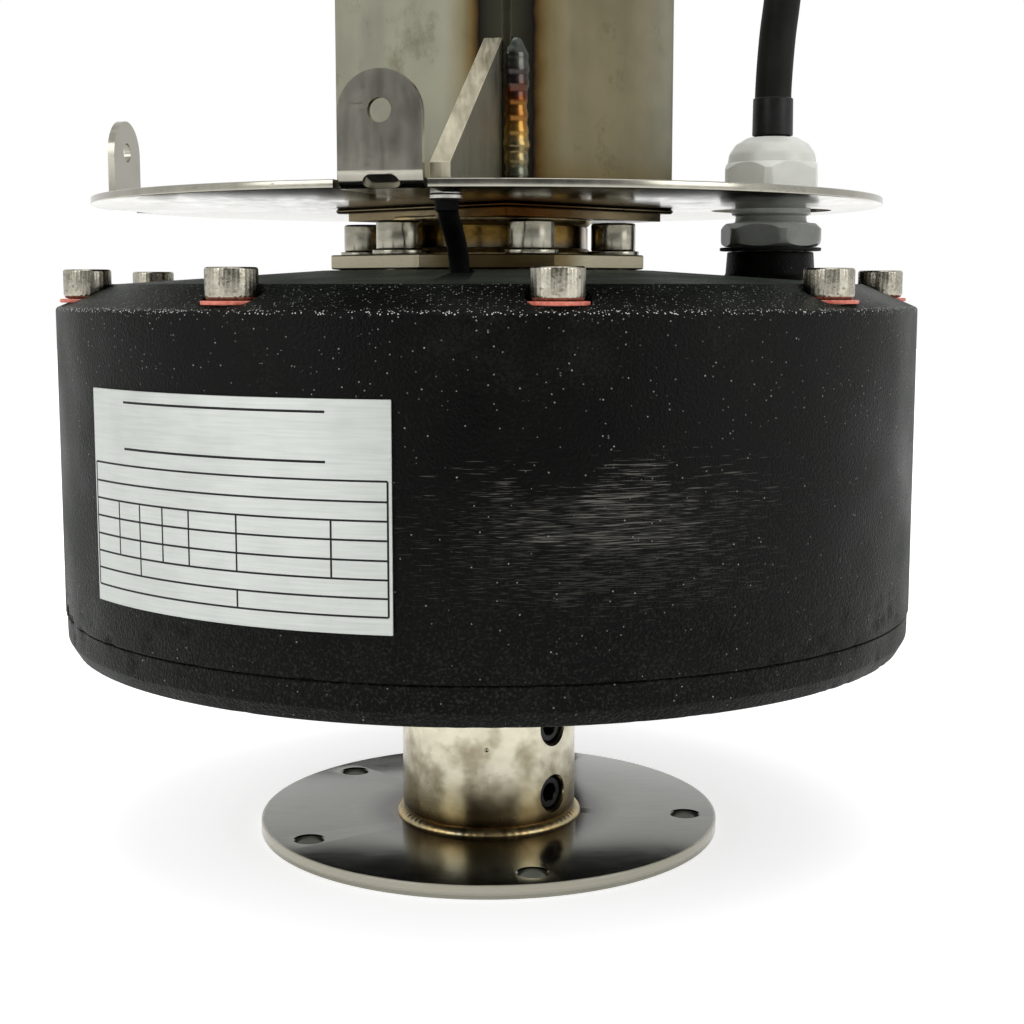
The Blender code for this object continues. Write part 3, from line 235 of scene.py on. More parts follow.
def filleted(corners, steps=4):
    """An open outline of (x, z, radius) corners, each rounded by an arc of that radius."""
    points = [(corners[0][0], corners[0][1])]
    for before, corner, after in zip(corners, corners[1:], corners[2:]):
        here = Vector(corner[:2])
        to_before = (Vector(before[:2]) - here).normalized()
        to_after = (Vector(after[:2]) - here).normalized()
        radius = corner[2]
        half = to_before.angle(to_after) / 2
        if radius <= 0 or half > radians(89):
            points.append(tuple(here))
            continue
        reach = radius / max(0.05, abs(sin(half) / cos(half)))
        centre = here + (to_before + to_after).normalized() * (radius / sin(half))
        start = here + to_before * reach - centre
        turn = start.angle_signed(here + to_after * reach - centre)
        for i in range(steps + 1):
            part = -turn * i / steps
            points.append((
                centre.x + start.x * cos(part) - start.y * sin(part),
                centre.y + start.x * sin(part) + start.y * cos(part),
            ))
    points.append((corners[-1][0], corners[-1][1]))
    return points


def add_loft(shape, rings, place=Matrix(), ends=True, loop=False):
    """Joins rings of equal point count. ends fills the first and last, loop joins them instead."""
    rows = [[shape.verts.new(place @ Vector(p)) for p in ring] for ring in rings]
    pairs = list(zip(rows, rows[1:]))
    if loop:
        pairs.append((rows[-1], rows[0]))
    elif ends:
        shape.faces.new(rows[0])
        shape.faces.new(rows[-1])
    count = len(rows[0])
    for low, high in pairs:
        for i in range(count):
            j = (i + 1) % count
            shape.faces.new((low[i], low[j], high[j], high[i]))
    return rows


def add_turned(shape, outline, sides, place=Matrix(), loop=False):
    """A solid turned about Z. An open outline is closed with flat ends, a loop outline is a ring."""
    add_loft(shape, [circle(x, z, sides) for x, z in outline], place, ends=not loop, loop=loop)


def in_metres(corners):
    """Corners given in mm, in metres."""
    return [tuple(value * MM for value in corner) for corner in corners]


def cylinder(shape, radius, low, high, place=Matrix(), sides=48):
    """A plain round bar or drill about Z."""
    add_turned(shape, [(radius, low), (radius, high)], sides, place)


rounded_corner = filleted([(0, 0, 0), (1, 0, 0.3), (1, 1, 0)])
print("rounded corner:", [tuple(round(v, 2) for v in point) for point in rounded_corner])

# %% [markdown]
# A finished shape becomes an object with smooth faces and sharp edges. Each object then gets a
# finish and rides on the body that carries it. Holes and bosses are cut or joined by Booleans,
# as they are on the real casting.


# %% Object helpers
def make_object(name, shape, sharp=35):
    """Stores a shape as an object, faces outwards, smooth except at its sharp edges."""
    bmesh.ops.recalc_face_normals(shape, faces=shape.faces)
    mesh = bpy.data.meshes.new(name)
    shape.to_mesh(mesh)
    shape.free()
    mesh.shade_smooth()
    mesh.set_sharp_from_angle(angle=radians(sharp))
    item = bpy.data.objects.new(name, mesh)
    bpy.context.scene.collection.objects.link(item)
    return item


def settle(item, material, body, slot, *stands_for):
    """Gives a piece its finish and its place in the frame."""
    item.data.materials.clear()
    item.data.materials.append(material)
    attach(item, body)
    if stands_for:
        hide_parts(*stands_for)
    return item


def cut(item, shape, operation="DIFFERENCE"):
    """Cuts a shape from a piece, or joins it on, and keeps only the result."""
    tool = make_object(item.name + "_tool", shape)
    modifier = item.modifiers.new("cut", "BOOLEAN")
    modifier.operation = operation
    modifier.object = tool
    bpy.context.view_layer.update()
    graph = bpy.context.evaluated_depsgraph_get()
    result = bpy.data.meshes.new_from_object(item.evaluated_get(graph))
    item.modifiers.clear()
    item.data = result
    result.shade_smooth()
    result.set_sharp_from_angle(angle=radians(35))
    bpy.data.objects.remove(tool)


def soften_edges(item, width):
    """A small bevel along every edge sharper than 50 degrees."""
    rounding = item.modifiers.new("edge", "BEVEL")
    rounding.width = width
    rounding.segments = 2
    rounding.limit_method = "ANGLE"
    rounding.angle_limit = radians(50)


print("object helpers ready")

# %% [markdown]
# The output cable is a matt black rubber flex, 11 mm thick and stiff, about 1.6 m long. It
# leaves the gland upwards, bends over under its own weight and comes down behind the housing
# to the floor, where the spare length lies in a coil held by a tie. Its route is one smooth
# Bezier curve: points listed as far as the coil, and a loop for the turns.

# %% Cable route
CABLE_DIAMETER = 11 * MM
CABLE_ROUTE = (  # mm
    (86.0, 11.0, 209.5), (86.0, 11.0, 223.0), (86.9, 11.2, 238.0), (88.6, 12.0, 253.0),
    (90.6, 17.0, 275.0), (89.6, 32.0, 298.0), (82.0, 54.0, 314.5), (67.5, 81.0, 320.0),
    (52.0, 107.0, 312.5), (40.0, 127.0, 295.0), (33.0, 139.0, 270.0), (29.5, 144.0, 240.0),
    (28.0, 146.0, 200.0), (27.5, 146.5, 160.0), (27.5, 146.5, 120.0), (27.8, 148.0, 88.0),
    (28.5, 153.5, 58.0), (30.5, 166.0, 30.0), (33.5, 186.0, 11.5), (36.6, 208.0, 5.9),
    (39.4, 230.0, 5.8),
)
COIL_CENTRE = Vector((-36.6, 246.0)) * MM
COIL_STEP = 15  # degrees between points of the coil
OUTER_TURN = 66 * MM
INNER_TURN = 55 * MM
LOW_LAYER = 5.8 * MM
TOP_HEIGHT, TOP_RADIUS = 29.2 * MM, 67.4 * MM  # where the coil ends, on top of its outer turn
COIL_CHANGES = (  # start and end of each change, in degrees of winding, and what it moves to
    (0, 80, "radius", OUTER_TURN), (360, 440, "radius", INNER_TURN),
    (560, 640, "height", LOW_LAYER + CABLE_DIAMETER), (840, 920, "radius", OUTER_TURN),
    (925, 1003.5, "height", TOP_HEIGHT), (960, 1003.5, "radius", TOP_RADIUS),
)


def eased(value, start, end):
    """0 before start, 1 after end, smooth between."""
    share = min(1.0, max(0.0, (value - start) / (end - start)))
    return share * share * (3 - 2 * share)


def coil_point(wound, entry_radius, entry_angle):
    """The cable's centre after this many degrees of winding."""
    state = {"radius": entry_radius, "height": LOW_LAYER}
    for start, end, what, target in COIL_CHANGES:
        state[what] += (target - state[what]) * eased(wound, start, end)
    angle = entry_angle + radians(wound)
    x = COIL_CENTRE.x + state["radius"] * cos(angle)
    y = COIL_CENTRE.y + state["radius"] * sin(angle)
    return Vector((x, y, state["height"]))


route = [Vector(p) * MM for p in CABLE_ROUTE]
entry = route[-1].xy - COIL_CENTRE
entry_angle = atan2(entry.y, entry.x)
winding_end = COIL_CHANGES[-1][1]
turns = int(winding_end // COIL_STEP)
route += [coil_point(COIL_STEP * i, entry.length, entry_angle) for i in range(1, turns + 1)]
route.append(coil_point(winding_end, entry.length, entry_angle))
print(f"{len(route)} points, {winding_end / 360:.2f} turns in the coil")

# %% [markdown]
# Rubber flex is extruded and dusted with talc, so it is matt, with a fine grain and pale dusty
# clouds. The thin lead's PVC sheath is extruded too and is cleaner, so it looks darker. The
# sleeve is polyolefin tube shrunk on by heat, which leaves it smoother, with low wrinkles. All
# three are a dark grey rather than black: true black would hide their roundness.

# %% Rubber finishes
cable_rubber, tree, shader = new_material("extruded_black_rubber", Roughness=0.62, IOR=1.5,
                                           Specular_IOR_Level=0.12)
place = add_node(tree, "TexCoord").outputs["Object"]
dust = add_node(tree, "TexNoise", {"Vector": place, "Scale": per_mm(9), "Detail": 5.0})
tone = add_node(tree, "ValToRGB", {"Fac": dust.outputs[0]}, [(0.35, "121210"), (0.7, "20211c")])
grain = add_node(tree, "TexNoise", {"Vector": place, "Scale": per_mm(0.7), "Detail": 2.0})
bump = add_node(tree, "Bump", {"Height": grain.outputs[0], "Strength": 0.25, "Distance": 0.2 * MM})
tree.links.new(tone.outputs[0], shader.inputs["Base Color"])
tree.links.new(bump.outputs[0], shader.inputs["Normal"])

lead_sheath, tree, shader = new_material("black_lead_sheath", Roughness=0.6, IOR=1.5, Specular_IOR_Level=0.1)
place = add_node(tree, "TexCoord").outputs["Object"]
dust = add_node(tree, "TexNoise", {"Vector": place, "Scale": per_mm(3), "Detail": 4.0})
tone = add_node(tree, "ValToRGB", {"Fac": dust.outputs[0]}, [(0.35, "050505"), (0.75, "131312")])
tree.links.new(tone.outputs[0], shader.inputs["Base Color"])

sleeve_plastic, tree, shader = new_material("heat_shrink_polyolefin", Roughness=0.42, IOR=1.5,
                                             Specular_IOR_Level=0.2)
place = add_node(tree, "TexCoord").outputs["Object"]
wrinkle = add_node(tree, "TexNoise", {"Vector": place, "Scale": per_mm(2.5), "Detail": 3.0})
tone = add_node(tree, "ValToRGB", {"Fac": wrinkle.outputs[0]}, [(0.3, "0d0d0d"), (0.7, "1c1c1b")])
bump = add_node(tree, "Bump", {"Height": wrinkle.outputs[0], "Strength": 0.3, "Distance": 0.3 * MM})
tree.links.new(tone.outputs[0], shader.inputs["Base Color"])
tree.links.new(bump.outputs[0], shader.inputs["Normal"])
print("rubber and sleeve ready")

# %% [markdown]
# A Bezier spline keeps the curve smooth with few points. Each handle follows the chord between
# a point's neighbours, a sixth of it on either side, which is the usual recipe for a curve that
# passes through all its points.

# %% Cable
cable_curve = bpy.data.curves.new("output_cable", "CURVE")
cable_curve.dimensions = "3D"
cable_curve.bevel_depth = CABLE_DIAMETER / 2
cable_curve.bevel_resolution = 6
cable_curve.resolution_u = 6
cable_curve.use_fill_caps = True
spline = cable_curve.splines.new("BEZIER")
spline.bezier_points.add(len(route) - 1)
ahead = [2 * route[0] - route[1], *route, 2 * route[-1] - route[-2]]
for knot, before, here, after in zip(spline.bezier_points, ahead, ahead[1:], ahead[2:]):
    knot.handle_left_type = knot.handle_right_type = "FREE"
    knot.co = here
    knot.handle_left = here - (after - before) / 6
    knot.handle_right = here + (after - before) / 6
cable = bpy.data.objects.new("output_cable", cable_curve)
bpy.context.scene.collection.objects.link(cable)
settle(cable, cable_rubber, "housing", "cable_rubber", "cable_lead", "cable_coil")

# %% [markdown]
# On the cable: a heat-shrink sleeve where it enters the gland, a tie round the coil, and at the
# far end a boot out of which three stripped cores with crimped ferrules come.

# %% Sleeve and tie
SLEEVE_LENGTH = 11 * MM
sleeve_shape = bmesh.new()
sleeve_outline = filleted([
    (CABLE_DIAMETER / 2, 0.2 * MM, 0), (6.1 * MM, 0.2 * MM, 0.2 * MM), (6.0 * MM, SLEEVE_LENGTH, 0.4 * MM),
    (CABLE_DIAMETER / 2, SLEEVE_LENGTH + 0.4 * MM, 0),
])
add_turned(sleeve_shape, sleeve_outline, 40, Matrix.Translation(route[0]), loop=True)
sleeve = settle(make_object("cable_sleeve", sleeve_shape), sleeve_plastic, "housing", "cable_rubber")

TIE_AT = 88  # degrees round the coil
TIE_WIDTH = 4.6 * MM
TIE_THICKNESS = 1.0 * MM
tie_turn = Matrix.Translation((*COIL_CENTRE, 0)) @ Matrix.Rotation(radians(TIE_AT), 4, "Z")
wound_here = [(OUTER_TURN, LOW_LAYER), (INNER_TURN, LOW_LAYER), (INNER_TURN, LOW_LAYER + CABLE_DIAMETER)]


def hull_round(centres, radius, count=40):
    """The taut outline of a band round circles of this radius."""
    points = [
        Vector((x + radius * cos(2 * pi * i / count), z + radius * sin(2 * pi * i / count)))
        for x, z in centres for i in range(count)
    ]
    return [points[i] for i in convex_hull_2d(points)]


tie_shape = bmesh.new()
inside = hull_round(wound_here, CABLE_DIAMETER / 2)
middle = sum(inside, Vector((0, 0))) / len(inside)
outside = [p + (p - middle).normalized() * TIE_THICKNESS for p in inside]
outside = [Vector((p.x, max(p.y, 0.05 * MM))) for p in outside]
sections = []
for near, far in zip(inside, outside):
    corners = ((near, -1), (far, -1), (far, 1), (near, 1))
    sections.append([(point.x, side * TIE_WIDTH / 2, point.y) for point, side in corners])
add_loft(tie_shape, sections, tie_turn, loop=True)
LOCK = ((-3.2, -2.8), (3.2, -2.8), (3.2, 2.8), (-3.2, 2.8))  # the tie's lock from above, in mm
lock_foot = max(p.y for p in outside)
add_loft(tie_shape, [
    [(INNER_TURN + x * MM, y * MM, lock_foot - 0.6 * MM) for x, y in LOCK],
    [(INNER_TURN + x * MM, y * MM, lock_foot + 2.4 * MM) for x, y in LOCK],
    [(INNER_TURN + 0.8 * x * MM, 0.8 * y * MM, lock_foot + 3.2 * MM) for x, y in LOCK],
], tie_turn)
tie = settle(make_object("cable_tie", tie_shape), sleeve_plastic, "housing", "cable_rubber")
print("band of", len(inside), "points round three turns")

# %% [markdown]
# The boot is a short moulded cap that hides where the outer sheath was cut back. It points the
# way the cable runs, and its place is the middle of the frame's own box for the bare end.

# %% Boot
END_TURN = radians(28)  # the bare end's direction from +X
END_LENGTH = 60 * MM
BOOT_LENGTH = 26 * MM
end_low, end_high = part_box("cable_end")
end_centre = (end_low + end_high) / 2
end_direction = Vector((cos(END_TURN), sin(END_TURN), 0))
end_turn = end_direction.to_track_quat("Z", "Y").to_matrix().to_4x4()
end_place = Matrix.Translation(end_centre - end_direction * END_LENGTH / 2) @ end_turn
boot_shape = bmesh.new()
boot_outline = filleted([
    (0.5 * MM, 0.0, 0), (6.4 * MM, 0.0, 1.0 * MM), (6.6 * MM, 16 * MM, 4 * MM),
    (4.6 * MM, BOOT_LENGTH, 1.2 * MM), (0.5 * MM, BOOT_LENGTH, 0),
])
add_turned(boot_shape, boot_outline, 36, end_place)
boot = settle(make_object("cable_boot", boot_shape), sleeve_plastic, "housing", "cable_rubber", "cable_end")
print(f"the coil ends at {[round(value / MM, 1) for value in route[-1]]} mm")

# %% [markdown]
# The cores of a three-phase flex are brown, black and grey PVC, extruded smooth, so they shine a
# little. A ferrule is a copper tube dipped in tin and crimped on, so that the fine strands stay
# together in a terminal: soft silver, dented by the crimping tool.

# %% Core finishes
CORE_COLOURS = (
    ("brown_pvc", "4a2a18", "5c3620"), ("black_pvc", "151515", "202020"), ("grey_pvc", "6f7275", "84878a"),
)
pvc_looks = {}
for core_name, dark, pale in CORE_COLOURS:
    pvc, tree, shader = new_material(core_name, Roughness=0.38, IOR=1.53)
    place = add_node(tree, "TexCoord").outputs["Object"]
    cloud = add_node(tree, "TexNoise", {"Vector": place, "Scale": per_mm(4)})
    tone = add_node(tree, "ValToRGB", {"Fac": cloud.outputs[0]}, [(0.3, dark), (0.7, pale)])
    tree.links.new(tone.outputs[0], shader.inputs["Base Color"])
    pvc_looks[core_name] = pvc
tinned, tree, shader = new_material("tinned_copper", Metallic=1.0, Roughness=0.3)
place = add_node(tree, "TexCoord").outputs["Object"]
crimp = add_node(tree, "TexNoise", {"Vector": place, "Scale": per_mm(1.2)})
tone = add_node(tree, "ValToRGB", {"Fac": crimp.outputs[0]}, [(0.3, "a9a7a0"), (0.7, "c9c8c2")])
bump = add_node(tree, "Bump", {"Height": crimp.outputs[0], "Strength": 0.4, "Distance": 0.2 * MM})
tree.links.new(tone.outputs[0], shader.inputs["Base Color"])
tree.links.new(bump.outputs[0], shader.inputs["Normal"])
print(len(pvc_looks), "core colours")

# %% [markdown]
# Each core is a loft of circles that leaves the boot straight and then spreads a little. Its
# ferrule is one turned piece with a wider collar at the foot.

# %% Cores and ferrules
CORE_RADIUS = 1.75 * MM
CORE_START, CORE_RUN = 24, 24  # mm along the bare end
FERRULE = [(0.3, 46), (1.95, 46), (2.0, 48), (1.2, 49.5), (1.1, 50), (1.1, 59), (0.3, 59.2)]
core_pieces = []
for number, (core_name, pvc) in enumerate(pvc_looks.items()):
    offset = on_azimuth(2.1 * MM, 120 * number)
    spread = on_azimuth(1.2 * MM, 120 * number)
    core_shape = bmesh.new()
    rings = []
    for i in range(9):
        along = i / 8
        centre = offset + spread * eased(along, 0.3, 1) + Vector((0, 0, (CORE_START + CORE_RUN * along) * MM))
        rings.append([tuple(centre + Vector(p)) for p in circle(CORE_RADIUS, 0, 20)])
    add_loft(core_shape, rings, end_place)
    core = settle(make_object("core_" + core_name, core_shape), pvc, "housing", "cable_rubber")
    ferrule_shape = bmesh.new()
    add_turned(ferrule_shape, in_metres(FERRULE), 20, end_place @ Matrix.Translation(offset + spread))
    ferrule = settle(make_object("ferrule_" + core_name, ferrule_shape), tinned, "housing", "tinned_lug")
    core_pieces += [core, ferrule]
print(len(core_pieces), "pieces at the bare end")

# %% [markdown]
# The casing is cast aluminium under a thick sprayed coat of black paint. Its base runs in soft
# clouds and fine grain from near black to a very dark grey, and a film of fine dust gives it a
# faint grey-green sheen where the surface turns away from the eye.

# %% Housing paint
housing_paint, tree, shader = new_material("pebbled_black_paint", IOR=1.5, Specular_IOR_Level=0.07,
                                           Sheen_Weight=0.13, Sheen_Roughness=0.3)
shader.inputs["Sheen Tint"].default_value = linear("c4d4c2")
place = add_node(tree, "TexCoord").outputs["Object"]
axes = add_node(tree, "SeparateXYZ", {0: place}).outputs
cloud = add_node(tree, "TexNoise", {"Vector": place, "Scale": per_mm(22), "Detail": 4.0})
grain = add_node(tree, "TexNoise", {"Vector": place, "Scale": per_mm(0.7), "Detail": 2.0})
mottle = add_node(tree, "Mix", {0: 0.45, 2: cloud.outputs[0], 3: grain.outputs[0]})
tone = add_node(tree, "ValToRGB", {"Fac": mottle.outputs[0]},
                [(0.36, "010101"), (0.52, "050504"), (0.68, "191a17")])
print("base colour nodes:", len(tree.nodes))

# %% [markdown]
# At mid height the wall was rubbed by straps and hands, which left fine level scratches: a few
# pale long ones in one spot at the front, and faint short ones lower down. Real ones are finer
# than 0.1 mm; they are drawn about 0.25 mm wide, as coarse as they need to be to show.


# %% Scratches
def laid_over(tree, under, over, share):
    """One colour laid over another by this share."""
    return add_node(tree, "Mix", {0: share, 6: under, 7: over}, data_type="RGBA").outputs[2]


def height_band(tree, height, start, full, fade, end):
    """A mask that rises from start to full and falls from fade to end, in mm above the floor."""
    rise = add_node(tree, "MapRange", {"Value": height, "From Min": start * MM, "From Max": full * MM},
                    interpolation_type="SMOOTHSTEP")
    fall = add_node(tree, "MapRange", {"Value": height, "From Min": end * MM, "From Max": fade * MM},
                    interpolation_type="SMOOTHSTEP")
    return add_node(tree, "Math", {0: rise.outputs[0], 1: fall.outputs[0]}, operation="MULTIPLY").outputs[0]


def level_scratches(tree, place, colour, size, mask, dense, scratch_hex, strength):
    """Adds scratches of this (length, width) in mm: stretched noise above a limit that the mask lowers."""
    length, width = size
    sizes = (per_mm(length), per_mm(length), per_mm(width))
    stretched = add_node(tree, "VectorMath", {0: place, 1: sizes}, operation="MULTIPLY")
    lines = add_node(tree, "TexNoise", {"Vector": stretched.outputs[0], "Scale": 1.0, "Detail": 2.0})
    limit = add_node(tree, "MapRange", {"Value": mask, "To Min": 0.8, "To Max": dense})
    over = add_node(tree, "Math", {0: lines.outputs[0], 1: limit.outputs[0]}, operation="SUBTRACT")
    shown = add_node(tree, "MapRange", {"Value": over.outputs[0], "From Max": 0.08, "To Max": strength})
    return laid_over(tree, colour, linear(scratch_hex), shown.outputs[0])


patch = add_node(tree, "TexNoise", {"Vector": place, "Scale": per_mm(16), "Detail": 2.0})
clear = add_node(tree, "MapRange", {"Value": patch.outputs[0], "From Min": 0.3, "From Max": 0.55})
RUBBED_SPOT = (29, -121, 115)  # mm
away = add_node(tree, "VectorMath", {0: place, 1: tuple(value * MM for value in RUBBED_SPOT)},
                operation="DISTANCE")
rubbed = add_node(tree, "MapRange", {"Value": away.outputs["Value"], "From Min": 78 * MM,
                                     "From Max": 14 * MM}, interpolation_type="SMOOTHSTEP")
mid_height = height_band(tree, axes["Z"], 90, 108, 124, 131)
middle = add_node(tree, "Math", {0: mid_height, 1: rubbed.outputs[0]}, operation="MULTIPLY")
worn = add_node(tree, "Math", {0: middle.outputs[0], 1: clear.outputs[0]}, operation="MULTIPLY")
spread_out = add_node(tree, "MapRange", {"Value": rubbed.outputs[0], "To Min": 0.3})
below_middle = height_band(tree, axes["Z"], 74, 96, 112, 130)
lower_rub = add_node(tree, "Math", {0: below_middle, 1: spread_out.outputs[0]}, operation="MULTIPLY")
colour = level_scratches(tree, place, tone.outputs[0], (5, 0.24), lower_rub.outputs[0], 0.5, "33332f", 0.9)
colour = level_scratches(tree, place, colour, (9, 0.26), worn.outputs[0], 0.55, "85827a", 0.5)
print("with scratches:", len(tree.nodes))

# %% [markdown]
# Painted glints: bright specks where light would catch the sprayed grains, few on the wall, many
# on the shoulder and a dense line of painted highlight along its rim. Each is a small disc in a
# cell of a Voronoi pattern, and a height band sets what share of the cells has one. Lower down,
# the raised tops of a leathery wrinkle are painted paler, as painted glints.

# %% Painted glints on the grain and wrinkle
cells = add_node(tree, "TexVoronoi", {"Vector": place, "Scale": per_mm(0.66)})
pick = add_node(tree, "SeparateColor", {0: cells.outputs["Color"]})
shoulder = height_band(tree, axes["Z"], 156.5, 158.6, 166, 167)
rim = height_band(tree, axes["Z"], 158.0, 158.3, 159.0, 159.5)
wall = height_band(tree, axes["Z"], 118, 140, 158, 166)
on_rim = add_node(tree, "Math", {0: rim, 1: 0.5}, operation="MULTIPLY")
often = add_node(tree, "Math", {0: shoulder, 1: 0.24, 2: on_rim.outputs[0]}, operation="MULTIPLY_ADD")
seldom = add_node(tree, "Math", {0: wall, 1: 0.03, 2: often.outputs[0]}, operation="MULTIPLY_ADD")
share = add_node(tree, "Math", {0: 0.985, 1: seldom.outputs[0]}, operation="SUBTRACT")
chosen = add_node(tree, "Math", {0: pick.outputs[0], 1: share.outputs[0]}, operation="GREATER_THAN")
near = add_node(tree, "Math", {0: cells.outputs["Distance"], 1: 0.3}, operation="LESS_THAN")
glint_spots = add_node(tree, "Math", {0: chosen.outputs[0], 1: near.outputs[0]}, operation="MULTIPLY")
bright = add_node(tree, "MapRange", {"Value": pick.outputs[1], "To Min": 0.06, "To Max": 0.62})
glint = add_node(tree, "Math", {0: rim, 1: 0.9, 2: bright.outputs[0]}, operation="MULTIPLY_ADD",
                 use_clamp=True)
# Painted highlight: each chosen speck is painted pale, brightest in the band round the rim.
painted_glints = add_node(tree, "Math", {0: glint_spots.outputs[0], 1: glint.outputs[0]}, operation="MULTIPLY")
leather = add_node(tree, "TexNoise", {"Vector": place, "Scale": per_mm(0.8), "Detail": 3.0, "Roughness": 0.6})
pebble = add_node(tree, "MapRange", {"Value": leather.outputs[0], "From Min": 0.52, "From Max": 0.66})
base_zone = add_node(tree, "MapRange", {"Value": axes["Z"], "From Min": 104 * MM, "From Max": 72 * MM,
                                        "To Max": 0.6})
# Painted glints: the wrinkle's raised tops are painted paler grey, more towards the bottom.
wrinkle_glints = add_node(tree, "Math", {0: pebble.outputs[0], 1: base_zone.outputs[0]}, operation="MULTIPLY")
colour = laid_over(tree, colour, linear("33362f"), wrinkle_glints.outputs[0])
painted = laid_over(tree, colour, linear("c4c5bf"), painted_glints.outputs[0])
tree.links.new(painted, shader.inputs["Base Color"])
print("with specks:", len(tree.nodes))

# %% [markdown]
# The same grain and wrinkle raise the surface: a fine pebble all over, which grows to a wrinkle
# like leather near the bottom. The clouds also set the gloss, so that it is nowhere even.

# %% Paint relief
lower = add_node(tree, "MapRange", {"Value": axes["Z"], "From Min": 0.115, "From Max": 0.085,
                                    "To Min": 0.25, "To Max": 2.6})
wrinkle = add_node(tree, "Math", {0: leather.outputs[0], 1: lower.outputs[0]}, operation="MULTIPLY")
relief = add_node(tree, "Math", {0: grain.outputs[0], 1: wrinkle.outputs[0]}, operation="ADD")
bump = add_node(tree, "Bump", {"Height": relief.outputs[0], "Strength": 0.8, "Distance": 0.3 * MM})
tree.links.new(bump.outputs[0], shader.inputs["Normal"])
gloss = add_node(tree, "MapRange", {"Value": cloud.outputs[0], "From Min": 0.3, "From Max": 0.7,
                                    "To Min": 0.38, "To Max": 0.56})
tree.links.new(gloss.outputs[0], shader.inputs["Roughness"])
print("paint nodes:", len(tree.nodes))

# %% [markdown]
# Several pieces share the same screws, holes and heights, so these are named once here. Heights
# are measured from the floor, which the hub stands on. Plain numbers are mm.

# %% Shared sizes
ROUND = 384  # sides of the large turned pieces
DRUM_RADIUS = 125 * MM
CASING_SCREWS = [on_azimuth(116.5 * MM, 8 + 40 * i) for i in range(9)]
FLANGE_SCREWS = [on_azimuth(37.5 * MM, 18.5 + 60 * i) for i in range(6)]
SCREW_HOLE = 4.4  # radius in mm of the clearance holes
CASING_SEAT = 160.1  # where the casing screws' spot faces lie
FLANGE_LOW, FLANGE_TOP = 169.5, 173.5
NECK_LOW, NECK_TOP = 173.8, 183.4
COLUMN_LOW, COLUMN_TOP = 187.4, 330.4
DISC_LOW, DISC_TOP = 187.4 * MM, 189.5 * MM
GLAND = Vector((86, 11, 0)) * MM
at_gland = Matrix.Translation(GLAND)
print(len(CASING_SCREWS), "casing screws and", len(FLANGE_SCREWS), "plate screws")

# %% [markdown]
# The upper casing is one casting: wall, sloping shoulder, a shallow cone for a top, a boss for
# the gland and a small three-sided boss for the earth lead. Its foot was knocked about in use,
# so the lower edge is chipped: each knock is a dent in the ring of points there, and a fixed
# noise pattern wears the rest a little.

# %% Drum wall
drum_shape = bmesh.new()
drum_outline = filleted(in_metres([
    (23.8, 160.5, 0), (23.8, 146.2, 0.3), (48, 146.2, 1), (48, 152.2, 1), (103, 152.2, 2), (103, 120, 0.2),
    (106, 120, 0.2), (106, 72.3, 0.3), (125, 72.3, 0.3), *[(125, 72.9 + 0.9 * i, 0) for i in range(16)],
    (125, 158.7, 1.1), (109.5, 165.3, 1.2), (108, 165.3, 0.8), (49.5, 169.2, 0.6), (48.5, 169.2, 0),
]))
CHIPS = (  # azimuth, height, reach and depth in mm of each knock
    (-80, 82, 2.4, 1.5), (-77, 79.5, 2.0, 1.9), (-79, 77, 2.7, 1.6), (-74.5, 76, 2.4, 2.0),
    (-71, 74, 2.6, 1.8), (-68, 73, 2.0, 1.0), (-52, 73, 2.2, 0.7), (-20, 73, 2.0, 0.6), (14, 72.8, 2.4, 0.6),
    (34, 73, 1.8, 0.7), (76, 82, 2.2, 1.1), (79, 79, 1.8, 0.9), (150, 74, 3.0, 1.0), (-140, 75, 2.6, 0.9),
)


def wear_down(rows, top):
    """Pushes the points of an outer wall in where it is chipped, and a little everywhere below top."""
    for row in rows:
        height = row[0].co.z
        if row[0].co.xy.length < 120 * MM or height > top:
            continue
        for vertex in row:
            wear = noise.noise(vertex.co * 190) + 0.6 * noise.noise(vertex.co * 450)
            depth = max(0.0, wear - 0.2) * 0.8 * (1 - eased(height, top - 6 * MM, top))
            for azimuth, chip_height, reach, deep in CHIPS:
                middle = on_azimuth(vertex.co.xy.length, azimuth, chip_height * MM)
                away = (vertex.co - middle).length / MM
                depth += deep * max(0.0, 1 - (away / reach) ** 2)
            vertex.co.xy *= 1 - depth * MM / DRUM_RADIUS


rows = add_loft(drum_shape, [circle(x, z, ROUND) for x, z in drum_outline])
wear_down(rows, 86 * MM)
drum = make_object("drum_shell", drum_shape)
print("wall points:", len(drum.data.vertices))

# %% [markdown]
# The two bosses are joined on, and then the holes are cut: a spot face and a through hole for
# each casing screw, blind holes for the plate's screws, and the bore under the gland.

# %% Bosses and holes of the drum
bosses = bmesh.new()
gland_boss = in_metres([(16.5, 160, 0), (15.6, 166, 1.5), (13.5, 168.2, 2), (13, 175, 0.5), (11, 175, 0)])
add_turned(bosses, filleted(gland_boss), 64, at_gland)
cut(drum, bosses, "UNION")
foot = in_metres([(-12.5, -64, 164.3), (1.5, -64, 164.3), (-7, -54, 164.3)])
crest = in_metres([(-8.9, -57.5, 169.5), (-4.0, -57.5, 169.5), (-7, -54, 169.5)])
earth_boss = bmesh.new()
add_loft(earth_boss, [foot, crest])
bmesh.ops.recalc_face_normals(earth_boss, faces=earth_boss.faces)
bmesh.ops.bevel(earth_boss, geom=list(earth_boss.edges), offset=0.5 * MM, segments=3, affect="EDGES")
cut(drum, earth_boss, "UNION")
holes = bmesh.new()
for centre in CASING_SCREWS:
    spot_face = filleted(in_metres([
        (SCREW_HOLE, 60, 0), (SCREW_HOLE, CASING_SEAT, 0.2), (8.1, CASING_SEAT, 0.3), (8.1, 180, 0),
    ]))
    add_turned(holes, spot_face, 48, Matrix.Translation(centre))
for centre in FLANGE_SCREWS:
    cylinder(holes, SCREW_HOLE * MM, 152.9 * MM, 175 * MM, Matrix.Translation(centre))
cylinder(holes, 10.3 * MM, 145 * MM, 180 * MM, at_gland)
cut(drum, holes)
